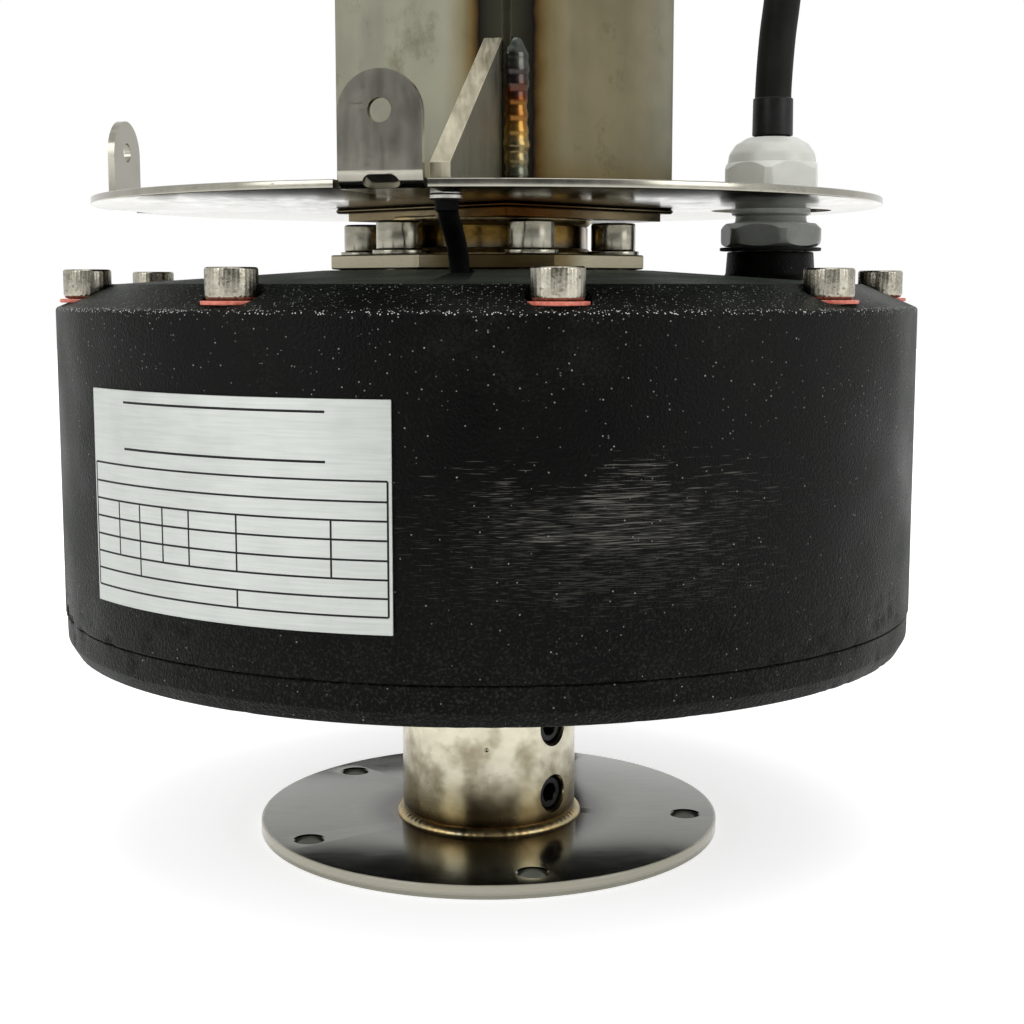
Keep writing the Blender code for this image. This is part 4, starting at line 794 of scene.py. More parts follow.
settle(drum, housing_paint, "housing", "housing_paint", "drum_housing")
print("drum faces:", len(drum.data.polygons))

# %% [markdown]
# The lower casing is a shallow lid with a chamfered edge. It is a hair smaller than the drum, so
# a thin shadow line runs round the joint. Inside it has a spigot that centres it in the drum, a
# groove for the seal ring, and a boss for the lower bearing.

# %% Cover
cover_shape = bmesh.new()
cover_outline = filleted(in_metres([
    (60, 61.5, 0), (118, 61.5, 0), (122.3, 61.5, 0.8), (124.5, 65.4, 1.2), (124.6, 68, 0), (124.6, 70, 0),
    (124.7, 71.7, 0.3), (124.1, 72, 0), (105.7, 72, 0.2), (105.7, 76, 0), (103.4, 76, 0), (103.4, 79.6, 0),
    (105.7, 79.6, 0), (105.7, 105.4, 0.5),
    (99.7, 105.4, 0.5), (99.7, 72, 2), (38, 72, 2), (38, 85.7, 0.8), (26.3, 85.7, 0.3), (26.3, 70.1, 0),
    (15.75, 70.1, 0), (15.75, 69.1, 0), (19.3, 69.1, 0), (19.3, 61.5, 0.5), (24, 61.5, 0),
]))
wear_down(add_loft(cover_shape, [circle(x, z, ROUND) for x, z in cover_outline], loop=True), 80 * MM)
cover = make_object("cover_shell", cover_shape)
blind_holes = bmesh.new()
for centre in CASING_SCREWS:
    cylinder(blind_holes, SCREW_HOLE * MM, 63.5 * MM, 80 * MM, Matrix.Translation(centre), 32)
cut(cover, blind_holes)
settle(cover, housing_paint, "housing", "housing_paint", "bottom_cover")
print("cover faces:", len(cover.data.polygons))

# %% [markdown]
# Bare metals differ here by how they were made, which shows in the direction and size of their
# grain. One recipe serves them all: a noise stretched along the grain sets the tone and a very
# low relief, and with broader clouds it sets the roughness too. Metals keep the default IOR, and
# their base colour is the colour they show against a white room.


# %% Metal recipe
def metal_finish(name, dark, pale, grain, roughness, relief=0.03, **surface):
    """A metal whose grain has these sizes in mm along x, y and z. relief is its height in mm."""
    metal, tree, shader = new_material(name, Metallic=1.0, **surface)
    place = add_node(tree, "TexCoord").outputs["Object"]
    per_grain = tuple(per_mm(size) for size in grain)
    sized = add_node(tree, "VectorMath", {0: place, 1: per_grain}, operation="MULTIPLY")
    fibre = add_node(tree, "TexNoise", {"Vector": sized.outputs[0], "Scale": 1.0, "Detail": 5.0})
    cloud = add_node(tree, "TexNoise", {"Vector": place, "Scale": per_mm(14), "Detail": 3.0})
    both = add_node(tree, "Math", {0: fibre.outputs[0], 1: cloud.outputs[0]}, operation="ADD")
    half = add_node(tree, "Math", {0: both.outputs[0], 1: 0.5}, operation="MULTIPLY")
    tone = add_node(tree, "ValToRGB", {"Fac": half.outputs[0]}, [(0.36, dark), (0.64, pale)])
    gloss = add_node(tree, "MapRange", {"Value": half.outputs[0], "From Min": 0.35, "From Max": 0.65,
                                        "To Min": roughness * 0.8, "To Max": roughness * 1.25})
    bump = add_node(tree, "Bump", {"Height": fibre.outputs[0], "Strength": 0.35, "Distance": relief * MM})
    tree.links.new(tone.outputs[0], shader.inputs["Base Color"])
    tree.links.new(gloss.outputs[0], shader.inputs["Roughness"])
    tree.links.new(bump.outputs[0], shader.inputs["Normal"])
    return metal, tree, shader, place, tone.outputs[0]


print("metal recipe ready")

# %% [markdown]
# Near a weld, heat leaves a film of oxide whose thickness, and so its colour, changes with the
# distance: straw, brown, purple, then blue-grey where it was hottest. A colour ramp over that
# distance multiplies the metal's own colour, and a little noise makes the fringes ragged.
# The same ramp also darkens two steel faces as painted shade.


# %% Heat tints and painted shade
def multiplied(tree, colour, stain, share=1.0):
    """The colour darkened by a stain, by this share."""
    mix = add_node(tree, "Mix", {0: share, 6: colour, 7: stain}, data_type="RGBA", blend_type="MULTIPLY")
    return mix.outputs[2]


def height_above(tree, place, floor_height):
    """How far a point lies above this height, which is in mm."""
    height = add_node(tree, "SeparateXYZ", {0: place}).outputs["Z"]
    return add_node(tree, "Math", {0: height, 1: floor_height * MM}, operation="SUBTRACT").outputs[0]


def heat_tint_and_shade(tree, shader, colour, distance, stops):
    """Multiplies the colour by oxide colours near a weld, and in two places by painted shade, given as (mm
    from the line, tint) stops.
    """
    reach = stops[-1][0]
    share = add_node(tree, "MapRange", {"Value": distance, "From Max": reach * MM})
    oxide = add_node(tree, "ValToRGB", {"Fac": share.outputs[0]}, [(mm / reach, tint) for mm, tint in stops])
    tinted = multiplied(tree, colour, oxide.outputs[0])
    tree.links.new(tinted, shader.inputs["Base Color"])
    return tinted


def distance_from(tree, place, point, wobble):
    """Distance from an upright line through this (x, y) in mm, made ragged by wobble in mm."""
    flat = add_node(tree, "VectorMath", {0: place, 1: (1, 1, 0)}, operation="MULTIPLY")
    target = (point[0] * MM, point[1] * MM, 0)
    away = add_node(tree, "VectorMath", {0: flat.outputs[0], 1: target}, operation="DISTANCE")
    ragged = add_node(tree, "TexNoise", {"Vector": place, "Scale": per_mm(6), "Detail": 3.0})
    shift = add_node(tree, "MapRange", {"Value": ragged.outputs[0], "To Min": -wobble * MM,
                                        "To Max": wobble * MM})
    return add_node(tree, "Math", {0: away.outputs["Value"], 1: shift.outputs[0]}, operation="ADD").outputs[0]


def finish_node(name, material, edge=0.0):
    """Gives a piece of the frame its finish and, if asked, a small rounded edge as a modifier."""
    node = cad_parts[name]
    node.data.materials.clear()
    node.data.materials.append(material)
    if edge:
        weld = node.modifiers.new("weld", "WELD")
        weld.merge_threshold = 0.001 * MM
        rounding = node.modifiers.new("edge", "BEVEL")
        rounding.width = edge
        rounding.segments = 3
        rounding.limit_method = "ANGLE"
        rounding.angle_limit = radians(30)
        rounding.harden_normals = True


print("heat tints ready")

# %% [markdown]
# The column is folded from 3 mm stainless sheet and left as it was rolled: a warm, satin grey
# with faint upright lines and a few greasy smudges. Its front and rear corners were closed by
# TIG welding, and the heat leaves a dark blue-grey strip along each seam with a brown edge and a
# straw fringe. The foot of the column was welded too, so it darkens there.

# %% Column finish
column_steel, tree, shader, place, colour = metal_finish(
    "rolled_steel_sheet", "807e6f", "8f8d7c", (9, 9, 70), 0.42, 0.01)
WELD_TINTS = [  # mm from the seam, colour
    (0, "62645e"), (6.5, "50524c"), (9.4, "3c3c38"), (10.4, "231f1c"), (11.4, "80603a"), (13.5, "c2a878"),
    (17, "e6dcc6"), (24, "ffffff"),
]
seam = distance_from(tree, place, (5, -50.5), 1.0)
smudge = add_node(tree, "TexNoise", {"Vector": place, "Scale": per_mm(17), "Detail": 7.0, "Roughness": 0.7})
handled = add_node(tree, "ValToRGB", {"Fac": smudge.outputs[0]}, [(0.56, "ffffff"), (0.74, "c9c6bb")])
dirty = multiplied(tree, colour, handled.outputs[0])
# Painted shade: the right front face is darkened and browned towards its middle.
to_right_face = distance_from(tree, place, (32, -30), 4)
right_face_shaded = heat_tint_and_shade(tree, shader, dirty, to_right_face, [(0, "d2c7b0"), (20, "dbd2bf"), (38, "ffffff")])
front = heat_tint_and_shade(tree, shader, right_face_shaded, seam, WELD_TINTS)
rear_seam = distance_from(tree, place, (5, 50.5), 1.2)
both = heat_tint_and_shade(tree, shader, front, rear_seam, WELD_TINTS)
above_disc = height_above(tree, place, DISC_TOP / MM)
heat_tint_and_shade(tree, shader, both, above_disc, [(0, "8d8272"), (2, "c3b697"), (6, "f3ead9"), (12, "ffffff")])
print("column nodes:", len(tree.nodes))

# %% [markdown]
# The plate that closes the column's foot was scorched brown by the welds all round it. The
# eight-sided plate under the neck is ground steel, satin and pale; its front is painted dark
# brown, as painted shadow and a painted dark reflection.

# %% Plate finishes
foot_metal, tree, shader, place, colour = metal_finish(
    "scorched_foot_plate", "5d5340", "83765a", (6, 6, 2), 0.3, 0.01)
to_front = distance_from(tree, place, (12, -46), 2.0)
heat_tint_and_shade(tree, shader, colour, to_front, [(0, "7a5226"), (9, "94683a"), (20, "a08a68"), (36, "ffffff")])
octagon_metal, tree, shader, place, colour = metal_finish(
    "ground_octagon_plate", "b0aa92", "ccc5ab", (3, 3, 1.0), 0.42, 0.02)
# Painted shadow and reflection: the front of the plate is darkened brown.
to_front = distance_from(tree, place, (6, -60), 2.0)
heat_tint_and_shade(tree, shader, colour, to_front, [(0, "5c4c38"), (14, "75634a"), (24, "b3a68c"), (32, "ffffff")])
print("plate finishes ready")

# %% [markdown]
# The column is two folded angles that meet in a hair-fine gap at the front and rear corners. An
# outline with a rounded outer corner is lofted straight up. The flat plates are prisms, drawn in
# a little at both ends, because a sheared edge is never quite sharp.

# %% Column
COLUMN_X = 5 * MM
OUTER_CORNER, INNER_CORNER = 50.49 * MM, 46.25 * MM
SEAM_GAP = 0.15 * MM


def rounded(corners, steps=6):
    """A closed outline of (x, y, radius) corners, each rounded by an arc."""
    ringed = [corners[-1], *corners, corners[0]]
    return filleted(ringed, steps)[1:-1]


def prism(name, corners, low, high, edge):
    """A straight piece with this closed outline, drawn in by edge at both ends."""
    outline = [Vector(p) for p in rounded(corners)]
    middle = sum(outline, Vector((0, 0))) / len(outline)
    rings = []
    for inset, height in ((edge, low), (0, low + edge), (0, high - edge), (edge, high)):
        ring = []
        for point in outline:
            away = point - middle
            ring.append((*(point - away.normalized() * inset), height))
        rings.append(ring)
    shape = bmesh.new()
    add_loft(shape, rings)
    return make_object(name, shape)


for side, node in ((-1, "column_left"), (1, "column_right")):
    near_seam = COLUMN_X + side * SEAM_GAP
    angle = [
        (near_seam, SEAM_GAP - OUTER_CORNER, 0), (COLUMN_X + side * OUTER_CORNER, 0, 2.2 * MM),
        (near_seam, OUTER_CORNER - SEAM_GAP, 0), (near_seam, INNER_CORNER - SEAM_GAP, 0),
        (COLUMN_X + side * INNER_CORNER, 0, 0.6 * MM), (near_seam, SEAM_GAP - INNER_CORNER, 0),
    ]
    shape = bmesh.new()
    outline = rounded(angle)
    add_loft(shape, [[(x, y, z) for x, y in outline] for z in (COLUMN_LOW * MM, COLUMN_TOP * MM)])
    settle(make_object("folded_" + node, shape), column_steel, "housing", "column_steel", node)


def diamond(half, radius):
    """The column's outline: a square seen corner on."""
    corners = [(COLUMN_X + half, 0), (COLUMN_X, half), (COLUMN_X - half, 0), (COLUMN_X, -half)]
    return [(x, y, radius) for x, y in corners]


foot = prism("column_foot", diamond(46.6 * MM, 0.8 * MM), 183.7 * MM, 187.3 * MM, 0.05 * MM)
settle(foot, foot_metal, "housing", "stainless_plate", "column_base_plate")
lip = prism("column_foot_weld", diamond(50.2 * MM, 0.5 * MM), 185.9 * MM, 187.35 * MM, 0.6 * MM)
settle(lip, foot_metal, "housing", "stainless_plate")
octagon = [(*on_azimuth(48.5 * MM, 22 + 45 * i).xy, 0.6 * MM) for i in range(8)]
bolted = prism("bolted_plate", octagon, FLANGE_LOW * MM, FLANGE_TOP * MM, 0.35 * MM)
plate_holes = bmesh.new()
for centre in FLANGE_SCREWS:
    cylinder(plate_holes, SCREW_HOLE * MM, 168 * MM, 175 * MM, Matrix.Translation(centre))
cut(bolted, plate_holes)
settle(bolted, octagon_metal, "housing", "stainless_plate", "flange_plate")
print("column and plates ready")

# %% [markdown]
# The gusset is a triangle sawn from 5 mm plate with coarse cut edges. Its flat sides are painted
# darker than the edges, as painted shade and a painted dark reflection; the surface's own direction
# tells them apart. The frame's piece is sharp, so it only gets a finish and a small rounded edge.

# %% Gusset
GUSSET_TURN = radians(-12.15)
GUSSET_SIDE = tuple(Matrix.Rotation(GUSSET_TURN, 3, "Z") @ Vector((1, 0, 0)))
gusset_metal, tree, shader, place, colour = metal_finish(
    "sawn_gusset", "b4ae98", "cfc9b4", (1.0, 7, 5), 0.45, 0.006)
facing = add_node(tree, "VectorMath", {0: add_node(tree, "TexCoord").outputs["Normal"], 1: GUSSET_SIDE},
                  operation="DOT_PRODUCT")
sideways = add_node(tree, "Math", {0: facing.outputs["Value"]}, operation="ABSOLUTE")
painted_side_shade = add_node(tree, "MapRange", {"Value": sideways.outputs[0], "From Min": 0.8, "From Max": 0.95})
# Painted shade: the flat sides are darkened, the cut edges keep the lighter tone.
tree.links.new(laid_over(tree, colour, linear("6f6c5c"), painted_side_shade.outputs[0]), shader.inputs["Base Color"])
finish_node("gusset", gusset_metal, 0.35 * MM)
print("gusset nodes:", len(tree.nodes))

# %% [markdown]
# The short neck between the bolted plate and the column's foot is cut from stainless tube. It
# took the heat of two ring welds, so its brushed surface runs from brown through straw to a
# dull violet. Its shape is a plain turned ring.

# %% Neck
neck_metal, tree, shader, place, colour = metal_finish(
    "heat_coloured_neck", "7d7052", "b3a37e", (3, 3, 1.5), 0.22, 0.01)
heat_tint_and_shade(tree, shader, colour, height_above(tree, place, FLANGE_TOP),
          [(0, "6b5a52"), (2.5, "8d8f9c"), (5, "d8c08a"), (7.5, "b9a36a"), (10, "6a5640")])
neck_shape = bmesh.new()
neck_outline = filleted(in_metres([
    (25, 178, 0), (25, NECK_LOW, 0.3), (29, NECK_LOW, 0.3), (29, NECK_TOP, 0.3), (25, NECK_TOP, 0.3),
    (25, 179, 0),
]))
add_turned(neck_shape, neck_outline, 128, loop=True)
settle(make_object("neck_ring", neck_shape), neck_metal, "housing", "stainless_plate", "neck_tube")
print("neck from", NECK_LOW, "to", NECK_TOP, "mm")

# %% [markdown]
# The disc is thin stainless sheet, mechanically polished until its underside mirrors the drum.
# Three tabs were left on its rim when it was laser cut and then folded up. Each has a round
# hole, and an oblong slot across the fold makes it bend in a clean line.

# %% Disc finish
polished_sheet, tree, shader, place, colour = metal_finish(
    "polished_stainless_sheet", "8f8d82", "9d9a8e", (3, 14, 14), 0.18, 0.003)
hair_sizes = (per_mm(5), per_mm(1.5), per_mm(0.5))
hair = add_node(tree, "VectorMath", {0: place, 1: hair_sizes}, operation="MULTIPLY")
scratches = add_node(tree, "TexNoise", {"Vector": hair.outputs[0], "Scale": 1.0, "Detail": 6.0})
marks = add_node(tree, "ValToRGB", {"Fac": scratches.outputs[0]}, [(0.64, "ffffff"), (0.74, "b5b2ad")])
tree.links.new(multiplied(tree, colour, marks.outputs[0]), shader.inputs["Base Color"])
print("disc finish nodes:", len(tree.nodes))

# %% [markdown]
# The disc is cut as the laser cuts it: the square hole for the column, a round one that clears
# the gland, and a notch with a relief slit on either side of each tab.

# %% Disc
DISC_RADIUS = 114.5 * MM
TAB_HALF = 10.25 * MM
TAB_OUTSIDE = sqrt(DISC_RADIUS ** 2 - TAB_HALF ** 2)
SHEET = DISC_TOP - DISC_LOW
TAB_INSIDE = TAB_OUTSIDE - SHEET
BEND = 2 * MM
TAB_RELIEF = (1.2 * MM, 6 * MM)  # width and depth of the slit on either side of a tab
TAB_TURNS = [Matrix.Rotation(radians(azimuth), 4, "Z") for azimuth in (-12.7, -100, 173)]

disc_shape = bmesh.new()
disc_outline = filleted([
    (50 * MM, DISC_LOW, 0), (DISC_RADIUS, DISC_LOW, 0.35 * MM), (DISC_RADIUS, DISC_TOP, 0.35 * MM),
    (50 * MM, DISC_TOP, 0),
])
add_turned(disc_shape, disc_outline, ROUND)
disc = make_object("polished_disc", disc_shape)
openings = bmesh.new()
through = (DISC_LOW - MM, DISC_TOP + MM)
add_loft(openings, [[(x, y, z) for x, y, _ in diamond(50.9 * MM, 0)] for z in through])
cylinder(openings, 18 * MM, *through, at_gland, 96)
notch = DISC_RADIUS - TAB_RELIEF[1]
half = TAB_HALF + TAB_RELIEF[0]
for turn in TAB_TURNS:
    box = [(-half, -notch), (half, -notch), (half, -2 * notch), (-half, -2 * notch)]
    add_loft(openings, [[(x, y, z) for x, y in box] for z in through], turn)
cut(disc, openings)
print("flat disc faces:", len(disc.data.polygons))

# %% [markdown]
# A tab is one loft of rectangles that leaves the disc level, goes round the bend and rises, and
# whose width then follows a half circle. Its hole and the oblong slot across the fold are cut
# last, and a small bevel takes the sharpness off every cut edge.

# %% Tabs
SHOULDER_HEIGHT = 204.25 * MM  # where a tab's round top starts
HOLE_HEIGHT = 205.1 * MM
HOLE_RADIUS = 2.85 * MM


def stadium(length, width, count=12):
    """An oblong with round ends, its long side along x."""
    reach = (length - width) / 2
    points = []
    for side in (1, -1):
        for i in range(count + 1):
            angle = -pi / 2 + pi * i / count
            points.append((side * (reach + width / 2 * cos(angle)), side * width / 2 * sin(angle)))
    return points


tabs = bmesh.new()
bend_centre = TAB_INSIDE - BEND
lift = DISC_TOP + BEND
for turn in TAB_TURNS:
    stations = [((notch - MM, DISC_TOP), (notch - MM, DISC_LOW), TAB_HALF)]
    for i in range(11):
        angle = -pi / 2 + pi / 2 * i / 10
        ray = Vector((cos(angle), sin(angle)))
        middle = Vector((bend_centre, lift))
        stations.append((middle + ray * BEND, middle + ray * (BEND + SHEET), TAB_HALF))
    for i in range(24):
        angle = pi / 2 * i / 24
        height = SHOULDER_HEIGHT + TAB_HALF * sin(angle)
        stations.append(((TAB_INSIDE, height), (TAB_OUTSIDE, height), TAB_HALF * cos(angle)))
    rings = []
    for (r1, z1), (r2, z2), w in stations:
        rings.append([(-w, -r1, z1), (w, -r1, z1), (w, -r2, z2), (-w, -r2, z2)])
    add_loft(tabs, rings, turn)
cut(disc, tabs, "UNION")
piercings = bmesh.new()
for turn in TAB_TURNS:
    across = turn @ Matrix.Translation((0, -DISC_RADIUS, HOLE_HEIGHT)) @ Matrix.Rotation(pi / 2, 4, "X")
    cylinder(piercings, HOLE_RADIUS, -6 * MM, 6 * MM, across)
    fold = turn @ Matrix.Translation((0, -bend_centre, lift)) @ Matrix.Rotation(radians(-45), 4, "X")
    slot = stadium(9 * MM, 4.2 * MM)
    add_loft(piercings, [[(x, y, z) for x, y in slot] for z in (-6 * MM, 1.5 * MM - BEND - SHEET)], fold)
cut(disc, piercings)
soften_edges(disc, 0.18 * MM)
settle(disc, polished_sheet, "housing", "polished_sheet", "disc_plate")
print("disc faces:", len(disc.data.polygons))

# %% [markdown]
# The nine casing screws are hot dip galvanised, so they are mottled with zinc crystals and have
# small lumps. The six on the plate are stainless, cold headed and tumbled, so they are even and
# brighter. The washers are vulcanised fibre, pressed paper that is dyed red and has a faint fuzz.

# %% Screw finishes
galvanised, tree, shader, place, colour = metal_finish(
    "galvanised_screw", "8e8b80", "b0ada1", (3, 3, 3), 0.26, 0.01)
spangle = add_node(tree, "TexVoronoi", {"Vector": place, "Scale": per_mm(0.7)})
grey = add_node(tree, "SeparateColor", {0: spangle.outputs["Color"]})
flakes = add_node(tree, "ValToRGB", {"Fac": grey.outputs[0]},
                  [(0.0, "83796a"), (0.12, "e2ddd2"), (1.0, "ffffff")])
tree.links.new(multiplied(tree, colour, flakes.outputs[0], 0.75), shader.inputs["Base Color"])
lumps = add_node(tree, "Bump", {"Height": spangle.outputs["Distance"], "Strength": 0.2,
                                "Distance": 0.05 * MM})
tree.links.new(lumps.outputs[0], shader.inputs["Normal"])
bright_screw, *_ = metal_finish("stainless_screw", "8a8779", "a5a294", (5, 5, 2), 0.2, 0.003)
red_fibre, tree, shader = new_material("red_vulcanised_fibre", Roughness=0.55)
place = add_node(tree, "TexCoord").outputs["Object"]
fuzz = add_node(tree, "TexNoise", {"Vector": place, "Scale": per_mm(1.5), "Detail": 4.0})
tone = add_node(tree, "ValToRGB", {"Fac": fuzz.outputs[0]}, [(0.3, "d0644f"), (0.7, "ee9683")])
bump = add_node(tree, "Bump", {"Height": fuzz.outputs[0], "Strength": 0.3, "Distance": 0.15 * MM})
tree.links.new(tone.outputs[0], shader.inputs["Base Color"])
tree.links.new(bump.outputs[0], shader.inputs["Normal"])
print("screw finishes ready")

# %% [markdown]
# A socket head screw is one loft of circles: shank, a head with a soft upper edge, then down a
# hexagon socket with a chamfer at its mouth. Pushing in every third point of the head's side
# makes its fine knurl. Each washer is a turned ring.

# %% Screw and washer shapes
HEAD, SHANK, HEAD_HEIGHT, SOCKET_DEPTH = 6.5 * MM, 4 * MM, 8 * MM, 4.5 * MM
SOCKET = 6 * MM  # across the flats
SOCKET_CHAMFER = 3.35 * MM  # its corners are cut back to this radius
HEX_SIDES = 96


def screw_mesh(name, length, foot_radius, knurl):
    """A socket head screw. Its head sits on height 0 and its shank points down. knurl is its depth."""
    shape = bmesh.new()
    profile = filleted([
        (SHANK - 0.6 * MM, -length, 0), (SHANK, -length + 0.8 * MM, 0), (SHANK, 0, 0),
        (HEAD, 0, foot_radius), (HEAD, HEAD_HEIGHT, 0.7 * MM), (3.6 * MM, HEAD_HEIGHT, 0),
    ])
    rings = [circle(x, z, HEX_SIDES) for x, z in profile]
    for ring in rings:
        if knurl and HEAD * 0.999 < hypot(ring[0][0], ring[0][1]):
            for i, (x, y, z) in enumerate(ring):
                share = 1 - (knurl / HEAD if i % 3 == 0 else 0)
                ring[i] = (x * share, y * share, z)
    rings.append(hexagon(SOCKET, HEAD_HEIGHT - 0.45 * MM, HEX_SIDES, SOCKET_CHAMFER))
    rings.append(hexagon(SOCKET, HEAD_HEIGHT - SOCKET_DEPTH, HEX_SIDES, SOCKET_CHAMFER))
    rings.append(circle(1.2 * MM, HEAD_HEIGHT - SOCKET_DEPTH - 0.9 * MM, HEX_SIDES))
    add_loft(shape, rings)
    return make_object(name, shape, 30)


def washer_mesh(name, inner, outer, thickness, edge):
    """A flat washer whose lower face is at height 0, with edges of this radius."""
    shape = bmesh.new()
    middle = (inner + outer) / 2
    profile = filleted([
        (middle, 0, 0), (outer, 0, edge), (outer, thickness, edge), (inner, thickness, edge),
        (inner, 0, edge), (middle - edge, 0, 0),
    ])
    add_turned(shape, profile, 64, loop=True)
    return make_object(name, shape, 40)


print("screw socket", round(SOCKET / MM, 1), "mm across the flats")

# %% [markdown]
# The screws of one kind share one mesh, and each is turned a little further than the last, so
# that no two sockets line up, as when they are tightened by hand.


# %% Screws and washers in place
def copies(first, stem, count):
    """Repeats a piece as stem_1, stem_2 and so on. The copies share its mesh."""
    made = [first]
    for number in range(2, count + 1):
        item = bpy.data.objects.new(f"{stem}_{number}", first.data)
        bpy.context.scene.collection.objects.link(item)
        made.append(item)
    return made


def put_round(first, centres, height, twist, finish, slot, node=None):
    """Copies a piece to every centre at this height in mm. node is the stem of the nodes it stands for."""
    stem = first.name.removesuffix("_1")
    for number, (item, centre) in enumerate(zip(copies(first, stem, len(centres)), centres)):
        seat = Matrix.Translation((*centre.xy, height * MM))
        item.matrix_world = seat @ Matrix.Rotation(twist * number, 4, "Z")
        settle(item, finish, "housing", slot, *([f"{node}_{number + 1}"] if node else []))


casing_screw = screw_mesh("galvanised_screw_1", 96.8 * MM, 1.3 * MM, 0.12 * MM)
put_round(casing_screw, CASING_SCREWS, 161.3, 1.1, galvanised, "screw_steel", "casing_screw")
fibre_washer = washer_mesh("red_washer_1", SCREW_HOLE * MM, 7.6 * MM, MM, 0.25 * MM)
put_round(fibre_washer, CASING_SCREWS, 160.25, 0.7, red_fibre, "fibre_washer", "casing_washer")
plate_screw = screw_mesh("plate_screw_1", 20 * MM, 0.4 * MM, 0)
put_round(plate_screw, FLANGE_SCREWS, 174.9, 0.9, bright_screw, "screw_steel", "flange_screw")
plain_washer = washer_mesh("plain_washer_1", 4.2 * MM, 7.6 * MM, 1.3 * MM, 0.2 * MM)
put_round(plain_washer, FLANGE_SCREWS, FLANGE_TOP, 0, bright_screw, "screw_steel")
print(len(CASING_SCREWS) + len(FLANGE_SCREWS), "screws, each with a washer")

# %% [markdown]
# The gland is injection moulded in grey nylon. Its body has a darker copy of the nut's finish, as
# painted shade and a painted dark reflection under the disc. The mould leaves an even, half matt
# skin with a very fine orange peel.

# %% Nylon
nylons = []
# The second grey is painted shade: the same nylon, darker, for the body under the disc.
for name, dark, pale in (("pale_grey_nylon", "dee0d6", "eeefe8"), ("shaded_grey_nylon", "868a83", "a0a49d")):
    plastic, tree, shader = new_material(name, Roughness=0.36, IOR=1.53)
    place = add_node(tree, "TexCoord").outputs["Object"]
    flow = add_node(tree, "TexNoise", {"Vector": place, "Scale": per_mm(8), "Detail": 3.0})
    tone = add_node(tree, "ValToRGB", {"Fac": flow.outputs[0]}, [(0.3, dark), (0.7, pale)])
    peel = add_node(tree, "TexNoise", {"Vector": place, "Scale": per_mm(0.9), "Detail": 2.0})
    bump = add_node(tree, "Bump", {"Height": peel.outputs[0], "Strength": 0.15, "Distance": 0.1 * MM})
    tree.links.new(tone.outputs[0], shader.inputs["Base Color"])
    tree.links.new(bump.outputs[0], shader.inputs["Normal"])
    nylons.append(plastic)
nut_nylon, shaded_body_nylon = nylons
print(len(nylons), "greys of nylon")

# %% [markdown]
# A hexagon body screws into the boss against a rubber washer, and a domed nut on top squeezes a
# seal round the cable. The nut's flats meet a turned chamfer, which gives the scalloped line of
# every machined or moulded hexagon, so it is made the same way here: a hexagon prism cut down
# to a turned shape. The neck, the dome and the bore are then joined on or cut.

# %% Gland
BODY_TURN = Matrix.Rotation(radians(35), 4, "Z")
NUT_TURN = Matrix.Rotation(radians(17), 4, "Z")
BODY_FLATS, NUT_FLATS = 27.8, 27  # mm across
BORE = 5.8  # radius in mm, a little over the cable's


def cut_to_profile(item, profile, operation):
    """Cuts, joins or trims a piece by this turned profile about the gland's axis."""
    shape = bmesh.new()
    add_turned(shape, filleted(in_metres(profile)), 96, at_gland)
    cut(item, shape, operation)


def chamfered_hexagon(name, across_flats, low, high, profile, turn):
    """A hexagon trimmed to a turned profile."""
    shape = bmesh.new()
    add_loft(shape, [hexagon(across_flats * MM, z * MM, 48) for z in (low, high)], at_gland @ turn)
    item = make_object(name, shape)
    cut_to_profile(item, profile, "INTERSECT")
    return item


body_chamfers = [
    (13.6, 176.5, 0), (15.0, 177.4, 0.3), (15.4, 178.5, 0), (15.4, 181.8, 0.3), (13.5, 183.55, 0),
]
body = chamfered_hexagon("gland_lower", BODY_FLATS, 176.6, 183.5, body_chamfers, BODY_TURN)
cut_to_profile(body, [
    (10, 151, 0), (10, 176.8, 0.1), (12.6, 177.4, 0), (12.6, 183.4, 0.2), (10.8, 184.0, 0.3),
    (10.6, 185.7, 0.4), (11.9, 186.2, 0.4), (11.9, 187.7, 0.4), (10.6, 188.2, 0.4), (10.6, 189.6, 0.4),
    (11.3, 190.2, 0.3), (11.3, 197.4, 0.3), (7, 197.4, 0),
], "UNION")
cut_to_profile(body, [(BORE, 140, 0), (BORE, 230, 0)], "DIFFERENCE")
settle(body, shaded_body_nylon, "housing", "gland_plastic", "gland_body")

nut_chamfers = [
    (13.6, 190.8, 0), (14.8, 191.8, 0.4), (15.0, 199.6, 0.3), (13.6, 201.3, 0.5), (12.6, 202.0, 0.2),
    (12, 202.5, 0),
]
dome = [
    (13.2, 193, 0), (13.25, 201.6, 2), (12.9, 204.2, 3), (11.0, 207.0, 3), (7.6, 209.0, 2), (6.0, 209.2, 0),
]
nut = chamfered_hexagon("gland_nut", NUT_FLATS, 190.9, 202.4, nut_chamfers, NUT_TURN)
cut_to_profile(nut, dome, "UNION")
cut_to_profile(nut, [(BORE, 180, 0), (BORE, 230, 0)], "DIFFERENCE")
cut_to_profile(nut, [(11.6, 189, 0), (11.6, 197.7, 0)], "DIFFERENCE")
settle(nut, nut_nylon, "housing", "gland_plastic", "gland_cap")

seal_shape = bmesh.new()
add_turned(seal_shape, filleted(in_metres([
    (12, 175.3, 0), (15.3, 175.3, 0.3), (15.3, 176.3, 0.3), (10.3, 176.3, 0.2), (10.3, 175.3, 0.2),
    (11.5, 175.3, 0),
])), 96, at_gland, loop=True)
settle(make_object("gland_seal_ring", seal_shape), cable_rubber, "housing", "cable_rubber", "gland_washer")
print("gland faces:", len(body.data.polygons) + len(nut.data.polygons))

# %% [markdown]
# A short black lead bonds the casing to the disc: a flex rising from the small boss, crimped in
# a tinned lug under the disc, with a black sleeve over the crimp. The flex is a Bezier curve.

